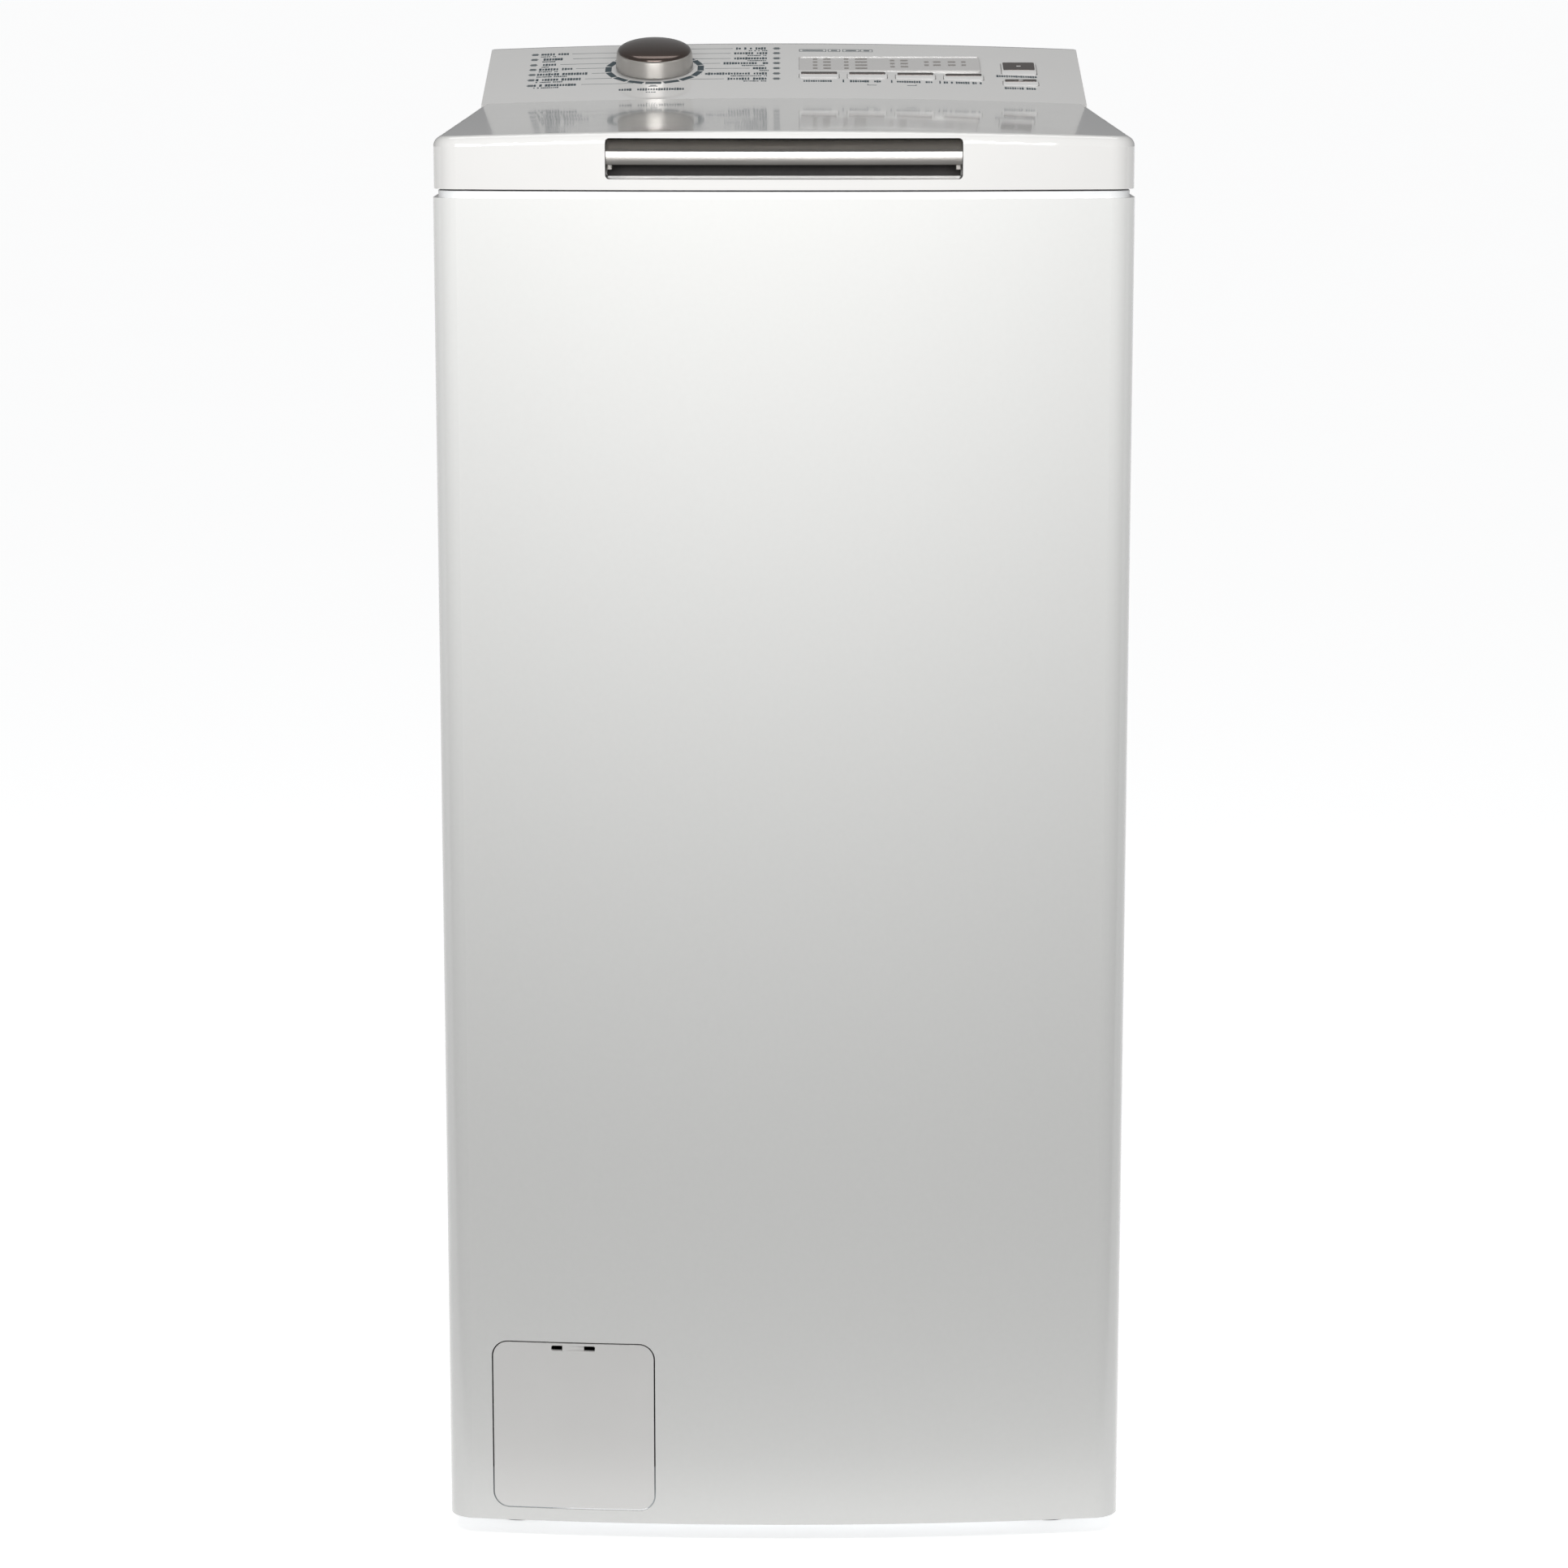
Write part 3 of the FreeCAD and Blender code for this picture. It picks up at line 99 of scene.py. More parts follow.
def bow(x):
    return BOW_RADIUS - math.sqrt(BOW_RADIUS ** 2 - x ** 2)


# Materials: each starts from what the real surface is made of

def srgb(code):
    """A hex colour as linear red, green, blue and alpha."""
    parts = [int(code[place:place + 2], 16) / 255 for place in (1, 3, 5)]
    linear = [part / 12.92 if part <= 0.04045 else ((part + 0.055) / 1.055) ** 2.4 for part in parts]
    return (*linear, 1.0)


def add(tree, kind, settings=None, **links):
    """Add a node: plain attributes and input values in settings, linked inputs in links."""
    node = tree.nodes.new(kind)
    for key, value in (settings or {}).items():
        if hasattr(node, key):
            setattr(node, key, value)
        else:
            node.inputs[key].default_value = value
    for key, source in links.items():
        tree.links.new(source, node.inputs[key.replace("_", " ")])
    return node


def material(name, colour, roughness, metallic=0.0, **extra):
    """A Principled material with its plain values set on the shader's own sockets."""
    finish = bpy.data.materials.new(name)
    finish.use_nodes = True
    shader = finish.node_tree.nodes["Principled BSDF"]
    shader.inputs["Base Color"].default_value = srgb(colour)
    shader.inputs["Roughness"].default_value = roughness
    shader.inputs["Metallic"].default_value = metallic
    for key, value in extra.items():
        shader.inputs[key.replace("_", " ")].default_value = value
    return finish


def place_of(finish, stretch=(1, 1, 1)):
    """Object coordinates, stretched along each axis."""
    tree = finish.node_tree
    where = add(tree, "ShaderNodeTexCoord")
    return add(tree, "ShaderNodeMapping", {"Scale": stretch}, Vector=where.outputs["Object"]).outputs[0]


def mottle(finish, colour, other, size, roughness, spread, stretch=(1, 1, 1), bump=0.0, rise=0.05):
    """Vary a finish's colour and roughness, and its height, with noise of a real size in mm."""
    tree = finish.node_tree
    shader = tree.nodes["Principled BSDF"]
    place = place_of(finish, stretch)
    noise = add(tree, "ShaderNodeTexNoise", {"Scale": 1 / (size * MM), "Detail": 3.0}, Vector=place)
    tint = add(tree, "ShaderNodeMix", {"data_type": "RGBA"}, Factor=noise.outputs[0])
    tint.inputs["A"].default_value = srgb(colour)
    tint.inputs["B"].default_value = srgb(other)
    tree.links.new(tint.outputs["Result"], shader.inputs["Base Color"])
    rough = add(tree, "ShaderNodeMapRange", {"To Min": roughness - spread, "To Max": roughness + spread},
                Value=noise.outputs[0])
    tree.links.new(rough.outputs[0], shader.inputs["Roughness"])
    if bump:
        height = add(tree, "ShaderNodeBump", {"Strength": bump, "Distance": rise * MM},
                     Height=noise.outputs[0])
        tree.links.new(height.outputs[0], shader.inputs["Normal"])
    return finish


def enamel():
    """Powder enamel on sheet steel: baked, glossy, with a faint orange peel 3 mm across."""
    finish = material("white_enamel", "#dddddb", 0.2, IOR=1.5, Coat_Weight=0.5, Coat_Roughness=0.06)
    return mottle(finish, "#dededc", "#dbdbd9", 3.0, 0.2, 0.02, bump=0.25, rise=0.02)


def gloss_abs(name, colour, other):
    """Moulded ABS off a polished tool: clean gloss with the slow ripple of moulding, 40 mm long."""
    finish = material(name, colour, 0.07, IOR=1.54, Coat_Weight=0.3, Coat_Roughness=0.03)
    return mottle(finish, colour, other, 40.0, 0.07, 0.012, bump=0.12, rise=0.08)


def frame_plastic():
    """Polypropylene with a fine eroded grain, for the frame round the mouth and the lining."""
    finish = material("white_polypropylene", "#e3e4e4", 0.42, IOR=1.49)
    return mottle(finish, "#e5e6e6", "#dfe0e1", 0.8, 0.42, 0.05, bump=0.4, rise=0.05)


def satin_bar():
    """Satin metallised bar: fine grain runs along it, 0.6 mm apart, and blurs what it mirrors."""
    finish = material("satin_metallised_bar", "#a5a29e", 0.24, 1.0, Anisotropic=0.5)
    return mottle(finish, "#aba8a4", "#9f9c98", 0.6, 0.24, 0.05, (0.02, 1, 1), 0.15, 0.02)


def silver_skirt():
    """Satin silver paint on plastic: fine flakes 0.3 mm across."""
    finish = material("satin_silver_paint", "#c6c2bd", 0.36, 0.75, Coat_Weight=0.2)
    return mottle(finish, "#cbc7c2", "#c0bcb7", 0.3, 0.36, 0.04, bump=0.08, rise=0.01)


def painted_dark_reflection():
    """Metallised plastic, nearly a mirror, as on the knob's cap and the keys; its warm dark brown colour
    is a painted reflection of dark surroundings.
    """
    finish = material("metallised_plastic_painted_dark_reflection", "#5a4d48", 0.2, 0.85, Coat_Weight=0.6, Coat_Roughness=0.08)
    return mottle(finish, "#5f524d", "#54473f", 14.0, 0.2, 0.03)


def key_lip():
    """White moulded plastic at the edge of each key."""
    finish = material("white_key_plastic", "#f0efee", 0.18, Coat_Weight=0.4)
    return mottle(finish, "#f2f1f0", "#edecea", 5.0, 0.18, 0.02)


def painted_recess_shade():
    """A black sheet with a fine texture at the back of the handle's recess: painted shade, where the deep
    recess lies in shadow.
    """
    return mottle(material("black_painted_recess_shade", "#1f1b1a", 0.6), "#241f1e", "#1a1716", 1.2, 0.6, 0.06,
                  bump=0.3, rise=0.05)


def display_pane():
    """Clear acrylic over a pale diffuser: an even light grey with sharp highlights."""
    finish = material("display_acrylic", "#e3e1df", 0.05, IOR=1.49, Coat_Weight=1.0, Coat_Roughness=0.02)
    return mottle(finish, "#e5e3e1", "#e0dedb", 60.0, 0.06, 0.01)


def ink(name, colour):
    """Screen printed ink, slightly raised and satin."""
    return mottle(material(name, colour, 0.45), colour, colour, 1.0, 0.45, 0.05)


def galvanised():
    """Hot dipped zinc on steel: crystals about 9 mm across, each with its own tone."""
    finish = material("galvanised_steel", "#aeb3b6", 0.4, 0.9)
    tree = finish.node_tree
    shader = tree.nodes["Principled BSDF"]
    cells = add(tree, "ShaderNodeTexVoronoi", {"Scale": 1 / (9 * MM)}, Vector=place_of(finish))
    tone = add(tree, "ShaderNodeSeparateColor", Color=cells.outputs["Color"])
    tint = add(tree, "ShaderNodeMix", {"data_type": "RGBA"}, Factor=tone.outputs[0])
    tint.inputs["A"].default_value = srgb("#a3a8ac")
    tint.inputs["B"].default_value = srgb("#b7bcbf")
    tree.links.new(tint.outputs["Result"], shader.inputs["Base Color"])
    rough = add(tree, "ShaderNodeMapRange", {"To Min": 0.3, "To Max": 0.48}, Value=tone.outputs[0])
    tree.links.new(rough.outputs[0], shader.inputs["Roughness"])
    return finish


def stainless():
    """Rolled stainless sheet: soft grain along X."""
    finish = material("stainless_steel", "#b4b5b6", 0.24, 1.0)
    return mottle(finish, "#babbbc", "#acadae", 1.2, 0.24, 0.06, (0.05, 1, 1), 0.15, 0.02)


HOLE_PITCH = 14 * MM     # between the drum's holes, along it and around it
HOLE_RADIUS = 1.54 * MM


def perforated():
    """Punched stainless sheet: holes 3 mm across, every 14 mm along and around the drum, painted near
    black as painted shade seen through them.
    """
    finish = material("perforated_stainless", "#b4b5b6", 0.22, 1.0)
    tree = finish.node_tree
    shader = tree.nodes["Principled BSDF"]
    split = add(tree, "ShaderNodeSeparateXYZ", Vector=place_of(finish))

    def compute(operation, first, second):
        step = add(tree, "ShaderNodeMath", {"operation": operation})
        for socket, source in zip(step.inputs, (first, second)):
            if isinstance(source, (int, float)):
                socket.default_value = source
            else:
                tree.links.new(source, socket)
        return step.outputs[0]

    across = compute("SUBTRACT", split.outputs[1], joint("drum_spin")["pos_m"][1])
    up = compute("SUBTRACT", split.outputs[2], joint("drum_spin")["pos_m"][2])
    around = compute("MULTIPLY", compute("ARCTAN2", across, up), drum_radius() / HOLE_PITCH)
    along = compute("DIVIDE", split.outputs[0], HOLE_PITCH)
    apart = [compute("PINGPONG", place, 0.5) for place in (around, along)]
    reach = compute("SQRT", compute("ADD", compute("MULTIPLY", apart[0], apart[0]),
                                    compute("MULTIPLY", apart[1], apart[1])), 0)
    hole = compute("LESS_THAN", reach, HOLE_RADIUS / HOLE_PITCH)
    # each hole is painted near black on the uncut sheet: painted shade of the dark behind it
    tint = add(tree, "ShaderNodeMix", {"data_type": "RGBA"}, Factor=hole)
    tint.inputs["A"].default_value = srgb("#b6b7b8")
    tint.inputs["B"].default_value = srgb("#17181a")
    tree.links.new(tint.outputs["Result"], shader.inputs["Base Color"])
    rough = add(tree, "ShaderNodeMapRange", {"To Min": 0.22, "To Max": 0.8}, Value=hole)
    tree.links.new(rough.outputs[0], shader.inputs["Roughness"])
    return finish


def bright_steel():
    """Zinc plated wire, pins, rods and screws."""
    return mottle(material("zinc_plated_steel", "#b9bcc0", 0.28, 1.0), "#c0c3c6", "#adb0b4", 2.0, 0.28,
                  0.06)


def cast_aluminium():
    """Sand cast aluminium, as cast, with grain about 1.5 mm across."""
    return mottle(material("cast_aluminium", "#9a9c9e", 0.5, 1.0), "#a4a6a8", "#8e9092", 1.5, 0.5, 0.1,
                  bump=0.6, rise=0.15)


def cast_iron():
    """Grey iron under a thin black paint."""
    return mottle(material("painted_cast_iron", "#2c2d2e", 0.6), "#333435", "#252627", 2.5, 0.6, 0.1,
                  bump=0.8, rise=0.3)


def tub_plastic():
    """Talc filled polypropylene: dull grey with darker flow marks 30 mm long."""
    return mottle(material("filled_polypropylene", "#8b8f92", 0.5), "#92969a", "#84888c", 30.0, 0.5, 0.06,
                  bump=0.2, rise=0.2)


def rubber():
    """EPDM rubber with a bloomed, dull surface."""
    return mottle(material("epdm_rubber", "#26282a", 0.6), "#2c2e30", "#202224", 4.0, 0.6, 0.08,
                  bump=0.3, rise=0.1)


def grey_rubber():
    """Light grey silicone rubber of the bellows."""
    return mottle(material("grey_rubber", "#7d8184", 0.5), "#838789", "#767a7d", 8.0, 0.5, 0.06,
                  bump=0.2, rise=0.1)


def board_green():
    """Solder mask over glass epoxy board, with the weave just visible at 0.5 mm."""
    return mottle(material("solder_mask", "#1f5a35", 0.35), "#22623a", "#1b5030", 0.5, 0.35, 0.05)


def motor_paint():
    """Stamped steel laminations under dark paint, with the sheets' edges as faint lines."""
    return mottle(material("motor_laminations", "#4a4c4e", 0.45, 0.7), "#525456", "#3f4143", 1.0, 0.45,
                  0.08, (1, 0.05, 0.05))


WHITE_ENAMEL = enamel()
WHITE_ABS = gloss_abs("gloss_white_abs", "#dddcda", "#d9d8d6")
CONSOLE_ABS = gloss_abs("console_white_abs", "#f1f0ee", "#eeedeb")
FRAME_PLASTIC = frame_plastic()
SATIN_BAR = satin_bar()
SILVER = silver_skirt()
# metallised plastic whose dark brown colour is a painted reflection of dark surroundings
PAINTED_DARK_REFLECTION = painted_dark_reflection()
KEY_LIP = key_lip()
DISPLAY = display_pane()
RECESS_SHADE = painted_recess_shade()
SLATE_INK = ink("slate_ink", "#3f4e55")
GREY_INK = ink("grey_ink", "#6d7477")
PALE_INK = ink("pale_ink", "#a19d99")
PERFORATED = perforated()
GALVANISED = galvanised()
STAINLESS = stainless()
BRIGHT_STEEL = bright_steel()
CAST_ALUMINIUM = cast_aluminium()
CAST_IRON = cast_iron()
TUB_PLASTIC = tub_plastic()
RUBBER = rubber()
GREY_RUBBER = grey_rubber()
BOARD = board_green()
MOTOR = motor_paint()

FINISHES = {
    WHITE_ENAMEL: ["front_panel", "left_side_panel", "right_side_panel"],
    WHITE_ABS: ["lid_outer", "filter_door"],
    CONSOLE_ABS: ["console_shell"],
    FRAME_PLASTIC: ["top_frame", "lid_inner", "dispenser_box", "filter_plug", "lifter_front",
                    "lifter_bottom", "lifter_rear"],
    SATIN_BAR: ["lid_handle"],
    GALVANISED: ["rear_panel", "base_pan"],
    PERFORATED: ["drum_shell", "drum_flap_front", "drum_flap_rear"],
    STAINLESS: ["flap_latch"],
    BRIGHT_STEEL: ["drum_bearings", "suspension_spring_left", "suspension_spring_right", "flap_hinge_pins",
                   "lid_hinge_pins", "rear_screws", "heater", "damper_rod_left", "damper_rod_right"],
    CAST_ALUMINIUM: ["trunnion_left", "trunnion_right", "drum_pulley"],
    CAST_IRON: ["counterweight"],
    TUB_PLASTIC: ["tub_left_half", "tub_right_half", "drain_pump", "lid_lock", "inlet_valve", "cord_gland",
                  "damper_cylinder_left", "damper_cylinder_right"],
    RUBBER: ["drive_belt", "front_foot_left", "front_foot_right", "rear_feet", "sump_hose", "drain_hose",
             "fill_hose"],
    GREY_RUBBER: ["tub_gasket"],
    BOARD: ["control_board"],
    MOTOR: ["motor_stator", "motor_rotor"],
    DISPLAY: ["display_window"],
    PAINTED_DARK_REFLECTION: ["program_knob"],
    KEY_LIP: ["option_button_1", "option_button_2", "option_button_3", "option_button_4", "power_button",
              "start_button"],
}


def dress_cad_nodes():
    """Give every CAD node its material, those that a finer piece replaces too."""
    for finish, nodes in FINISHES.items():
        for name in nodes:
            slots = frame["nodes"][name].data.materials
            slots.clear()
            slots.append(finish)


# Making pieces

def piece(name, mesh, finish, body):
    """A finished piece: its mesh is already in place, so its object stays at the origin."""
    item = bpy.data.objects.new(name, mesh)
    bpy.context.scene.collection.objects.link(item)
    if finish and not mesh.materials:
        mesh.materials.append(finish)
    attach(item, body)
    return item


def finished_mesh(name, form, turn=None, smooth=35):
    """A mesh from a bmesh, turned into place, facing outwards and smooth over gentle edges."""
    bmesh.ops.remove_doubles(form, verts=form.verts, dist=1e-7)
    bmesh.ops.recalc_face_normals(form, faces=form.faces)
    mesh = bpy.data.meshes.new(name)
    form.to_mesh(mesh)
    form.free()
    if turn:
        mesh.transform(turn)
    mesh.shade_smooth()
    mesh.set_sharp_from_angle(angle=math.radians(smooth))
    return mesh


def lathe(name, profile, turn, steps=96, smooth=35):
    """A closed solid turned about local Z from (radius, height) points in mm."""
    form = bmesh.new()
    rings = []
    for radius, height in profile:
        if radius == 0:
            rings.append([form.verts.new((0, 0, height * MM))])
            continue
        rings.append([form.verts.new((radius * MM * math.cos(2 * math.pi * step / steps),
                                      radius * MM * math.sin(2 * math.pi * step / steps), height * MM))
                      for step in range(steps)])
    for lower, upper in zip(rings, rings[1:]):
        for step in range(steps):
            after = (step + 1) % steps
            corners = [lower[step % len(lower)], lower[after % len(lower)],
                       upper[after % len(upper)], upper[step % len(upper)]]
            unique = list(dict.fromkeys(corners))
            if len(unique) > 2:
                form.faces.new(unique)
    return finished_mesh(name, form, turn, smooth)


def rounded_outline(width, length, radius, steps=6):
    """Points round a rectangle with rounded corners, about the origin."""
    points = []
    for turn, (x, y) in enumerate(((1, 1), (-1, 1), (-1, -1), (1, -1))):
        for step in range(steps + 1):
            angle = math.pi / 2 * (turn + step / steps)
            points.append((x * (width / 2 - radius) + radius * math.cos(angle),
                           y * (length / 2 - radius) + radius * math.sin(angle)))
    return points


def stacked(name, sections, turn, smooth=35):
    """A closed solid lofted through (outline, height) sections in mm, capped at both ends."""
    form = bmesh.new()
    rings = [[form.verts.new((x * MM, y * MM, height * MM)) for x, y in outline]
             for outline, height in sections]
    count = len(rings[0])
    for lower, upper in zip(rings, rings[1:]):
        for step in range(count):
            after = (step + 1) % count
            form.faces.new((lower[step], lower[after], upper[after], upper[step]))
    form.faces.new(rings[0][::-1])
    form.faces.new(rings[-1])
    return finished_mesh(name, form, turn, smooth)


# The console's slope, found from the knob's axis. Lengths named without MM below are in millimetres.

KNOB_PLACE = Vector(joint("knob_turn")["pos_m"])
SLOPE_NORMAL = Vector(joint("knob_turn")["axis"]).normalized()
SLOPE_UP = SLOPE_NORMAL.cross(Vector((1, 0, 0)))


def on_slope(x, up, lift=0.0):
    """A turn that stands a piece on the slope. x and up are in metres from the knob's centre."""
    place = KNOB_PLACE + Vector((x, 0, 0)) + SLOPE_UP * up + SLOPE_NORMAL * lift
    turn = Matrix((Vector((1, 0, 0)), SLOPE_UP, SLOPE_NORMAL)).transposed().to_4x4()
    turn.translation = place
    return turn


def slope_place(node):
    """A node's middle on the slope: across, up and out from the knob's centre, in metres."""
    away = middle(node) - KNOB_PLACE
    return away.x, away.dot(SLOPE_UP), away.dot(SLOPE_NORMAL)


def slope_length(node, depth):
    """How long a flat node is up the slope, from its box and from how deep it is, in mm."""
    low, high = box(node)
    tilt = math.atan2(SLOPE_UP.z, SLOPE_UP.y)
    return ((high.y - low.y) / MM - depth * math.sin(tilt)) / math.cos(tilt)


def shifted(outline, along):
    return [(x, y + along) for x, y in outline]


CROWN_DROP = 3.84 * MM   # how far the slope falls, square to itself, from its middle to its sides
CROWN_HALF = (box("console_shell")[1].x - box("console_shell")[0].x) / 2


def settle(mesh):
    """Lay a flat print on the crowned slope."""
    for vertex in mesh.vertices:
        vertex.co -= SLOPE_NORMAL * CROWN_DROP * (vertex.co.x / CROWN_HALF) ** 2
    return mesh


# Repeated prints, from Geometry Nodes

def node_tree(name, inputs):
    """A geometry tree with named inputs, and its group input and output nodes."""
    tree = bpy.data.node_groups.new(name, "GeometryNodeTree")
    tree.interface.new_socket("Geometry", in_out="OUTPUT", socket_type="NodeSocketGeometry")
    for label, value in inputs.items():
        kind = "NodeSocketInt" if isinstance(value, int) else "NodeSocketFloat"
        tree.interface.new_socket(label, in_out="INPUT", socket_type=kind).default_value = value
    return tree, tree.nodes.new("NodeGroupInput"), tree.nodes.new("NodeGroupOutput")


def close_tree(tree, out, geometry, finish):
    """End a tree in Realize Instances and Set Material."""
    real = add(tree, "GeometryNodeRealizeInstances", Geometry=geometry)
    dressed = add(tree, "GeometryNodeSetMaterial", {"Material": finish}, Geometry=real.outputs[0])
    tree.links.new(dressed.outputs[0], out.inputs[0])


def grown(name, tree, turn, **values):
    """Run a tree with its inputs set, and return a plain mesh in place."""
    holder = bpy.data.objects.new(name + "_maker", bpy.data.meshes.new(name + "_seed"))
    bpy.context.scene.collection.objects.link(holder)
    modifier = holder.modifiers.new("grow", "NODES")
    modifier.node_group = tree
    sockets = {item.name: item.identifier for item in tree.interface.items_tree if item.in_out == "INPUT"}
    for label, value in values.items():
        modifier[sockets[label.replace("_", " ")]] = value
    graph = bpy.context.evaluated_depsgraph_get()
    mesh = bpy.data.meshes.new_from_object(holder.evaluated_get(graph))
    bpy.data.objects.remove(holder)
    mesh.name = name
    if turn:
        mesh.transform(turn)
    return mesh


def ring_of_blocks(finish):
    """Blocks in a ring: the printed scale round the knob."""
    tree, given, out = node_tree("ring_of_blocks", {"Count": 24, "Radius": 0.03, "Length": 0.005,
                                                    "Width": 0.003, "Height": 0.0002})
    circle = add(tree, "GeometryNodeMeshCircle", Vertices=given.outputs["Count"],
                 Radius=given.outputs["Radius"])
    size = add(tree, "ShaderNodeCombineXYZ", X=given.outputs["Length"], Y=given.outputs["Width"],
               Z=given.outputs["Height"])
    cube = add(tree, "GeometryNodeMeshCube", Size=size.outputs[0])
    index = add(tree, "GeometryNodeInputIndex")
    part = add(tree, "ShaderNodeMath", {"operation": "DIVIDE"})
    tree.links.new(index.outputs[0], part.inputs[0])
    tree.links.new(given.outputs["Count"], part.inputs[1])
    angle = add(tree, "ShaderNodeMath", {"operation": "MULTIPLY"})
    angle.inputs[1].default_value = 2 * math.pi
    tree.links.new(part.outputs[0], angle.inputs[0])
    turn = add(tree, "ShaderNodeCombineXYZ", Z=angle.outputs[0])
    placed = add(tree, "GeometryNodeInstanceOnPoints", Points=circle.outputs[0], Instance=cube.outputs[0],
                 Rotation=turn.outputs[0])
    close_tree(tree, out, placed.outputs[0], finish)
    return tree


PRINT = 0.12 * MM      # how far ink stands off the plastic
PRINT_SUNK = 0.05      # how far a stroke's foot reaches into it


def word_row(finish):
    """A row of uneven upright dashes, some left out: a printed legend without letters."""
    tree, given, out = node_tree("word_row", {"Count": 8, "Pitch": 0.0018, "Width": 0.0013,
                                              "Tall": 0.003, "Seed": 3})
    step = add(tree, "ShaderNodeCombineXYZ", X=given.outputs["Pitch"])
    line = add(tree, "GeometryNodeMeshLine", Count=given.outputs["Count"], Offset=step.outputs[0])
    size = add(tree, "ShaderNodeCombineXYZ", {"Z": PRINT}, X=given.outputs["Width"],
               Y=given.outputs["Tall"])
    dash = add(tree, "GeometryNodeMeshCube", Size=size.outputs[0])
    uneven = add(tree, "FunctionNodeRandomValue", {"data_type": "FLOAT_VECTOR"},
                 Seed=given.outputs["Seed"])
    uneven.inputs[0].default_value = (0.75, 0.6, 1.0)
    uneven.inputs[1].default_value = (1.25, 1.0, 1.0)
    kept = add(tree, "FunctionNodeRandomValue", {"data_type": "BOOLEAN", "Probability": 0.9},
               Seed=given.outputs["Seed"])
    placed = add(tree, "GeometryNodeInstanceOnPoints", Points=line.outputs[0],
                 Selection=kept.outputs[3], Instance=dash.outputs[0], Scale=uneven.outputs[0])
    close_tree(tree, out, placed.outputs[0], finish)
    return tree


# Prints and pieces on the console

def print_on_console(name, mesh, finish=None):
    """A print laid on the crown. A mesh from a tree brings its own ink."""
    return piece(name, settle(mesh), finish, "cabinet")


def print_words(name, tree, place, length, pitch, width, tall, seed):
    """A legend's row of dashes. place is its left end, across and up from the knob's centre."""
    across, up = place
    mesh = grown(name, tree, on_slope(across * MM, up * MM, PRINT / 2), Count=max(2, int(length / pitch)),
                 Pitch=pitch * MM, Width=width * MM, Tall=tall * MM, Seed=seed)
    print_on_console(name, mesh)


def strokes(name, lines, finish):
    """Flat printed strokes on the slope. Each line: start, end and width, in mm from the knob."""
    form = bmesh.new()
    for start, end, width in lines:
        start, end = (Vector((*place, 0)) for place in (start, end))
        side = (end - start).normalized().cross(Vector((0, 0, 1))) * width / 2
        ends = [start + side, end + side, end - side, start - side]
        lower = [form.verts.new((corner - Vector((0, 0, PRINT_SUNK))) * MM) for corner in ends]
        upper = [form.verts.new(corner * MM + Vector((0, 0, PRINT))) for corner in ends]
        form.faces.new(lower[::-1])
        form.faces.new(upper)
        for step in range(4):
            after = (step + 1) % 4
            form.faces.new((lower[step], lower[after], upper[after], upper[step]))
    return print_on_console(name, finished_mesh(name, form, on_slope(0, 0)), finish)


CAP_INSET = 1.4      # from the skirt's widest place in to the cap's edge
CAP_FOOT = 11.6      # from the slope to the cap's edge
CAP_TOP = 17.6       # from the slope to the top of its dome
DOME_STEPS = 14


def make_knob():
    """A domed metallised cap, coloured dark brown as a painted reflection, in a smooth satin silver skirt.
    """
    low, high = box("program_knob")
    radius = (high.x - low.x) / 2 / MM
    seat = on_slope(0, 0)
    side = [(0, 0.2), (radius - 0.5, 0.2), (radius, 0.7), (radius - 0.2, 4), (radius - 0.5, 8),
            (radius - 0.9, 10.8), (radius - 1.5, 11.4), (radius - 2.4, 11.2), (0, 11.2)]
    skirt = piece("knob_skirt", lathe("knob_skirt", side, seat), SILVER, "program_knob")
    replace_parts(skirt, "program_knob")
    edge = radius - CAP_INSET
    turns = [math.pi / 2 * step / DOME_STEPS for step in range(1, DOME_STEPS)]
    dome = [(0, CAP_FOOT - 1), (edge - 0.4, CAP_FOOT - 1), (edge - 0.1, CAP_FOOT)]
    dome += [(edge * math.cos(turn), CAP_FOOT + (CAP_TOP - CAP_FOOT) * math.sin(turn)) for turn in turns]
    dome.append((0, CAP_TOP))
    # the cap's dark brown colour is a painted reflection
    piece("knob_cap", lathe("knob_cap", dome, seat), PAINTED_DARK_REFLECTION, "program_knob")


RING_RADIUS = 31     # the middle of the printed ring
RING_BLOCKS = 16
LEADER_GAP = 3       # from the ring's middle out to the leader lines
LEADER_LEAST = 12    # no leader line starts nearer the knob's middle line than this
ICON_OUT = 82        # from the knob's centre across to the icons

# Legends beside the knob: height above its centre, distance across from the centre to the text's
# inner end, and the text's length
LEFT_LEGENDS = [(36.8, 59, 19), (25.7, 58, 20), (13.7, 66, 12), (3.5, 55, 23), (-7.6, 44, 35),
                (-19.2, 48, 31), (-31.2, 50, 30)]
RIGHT_LEGENDS = [(42.7, 54, 22), (32.1, 53, 23), (20.6, 53, 23), (10, 46, 31), (-1.2, 66, 11),
                 (-12.7, 34, 43), (-24, 49, 27)]

# A legend's bold row and the small row under it: drop, height, pitch of its dashes, and share of the
# text's length. Both rows end level on the icon's side.
LEGEND_ROWS = [(0, 5.0, 1.9, 1.0), (5.0, 2.0, 1.3, 0.6)]
DASH_SHARE = 0.72    # of its pitch that a dash fills

# The legend under the knob: drop below its centre, height and length of each row
LOW_ROWS = [(44.6, 5.0, 44), (50.6, 2.0, 8)]


def print_legend(tree, number, side, up, inner, length):
    left = inner if side > 0 else -(inner + length)
    for drop, tall, pitch, share in LEGEND_ROWS:
        start = left if side < 0 else left + length * (1 - share)
        print_words("legend_%d_%d" % (number, drop), tree, (start + pitch / 2, up - drop),
                    length * share, pitch, DASH_SHARE * pitch, tall, number)


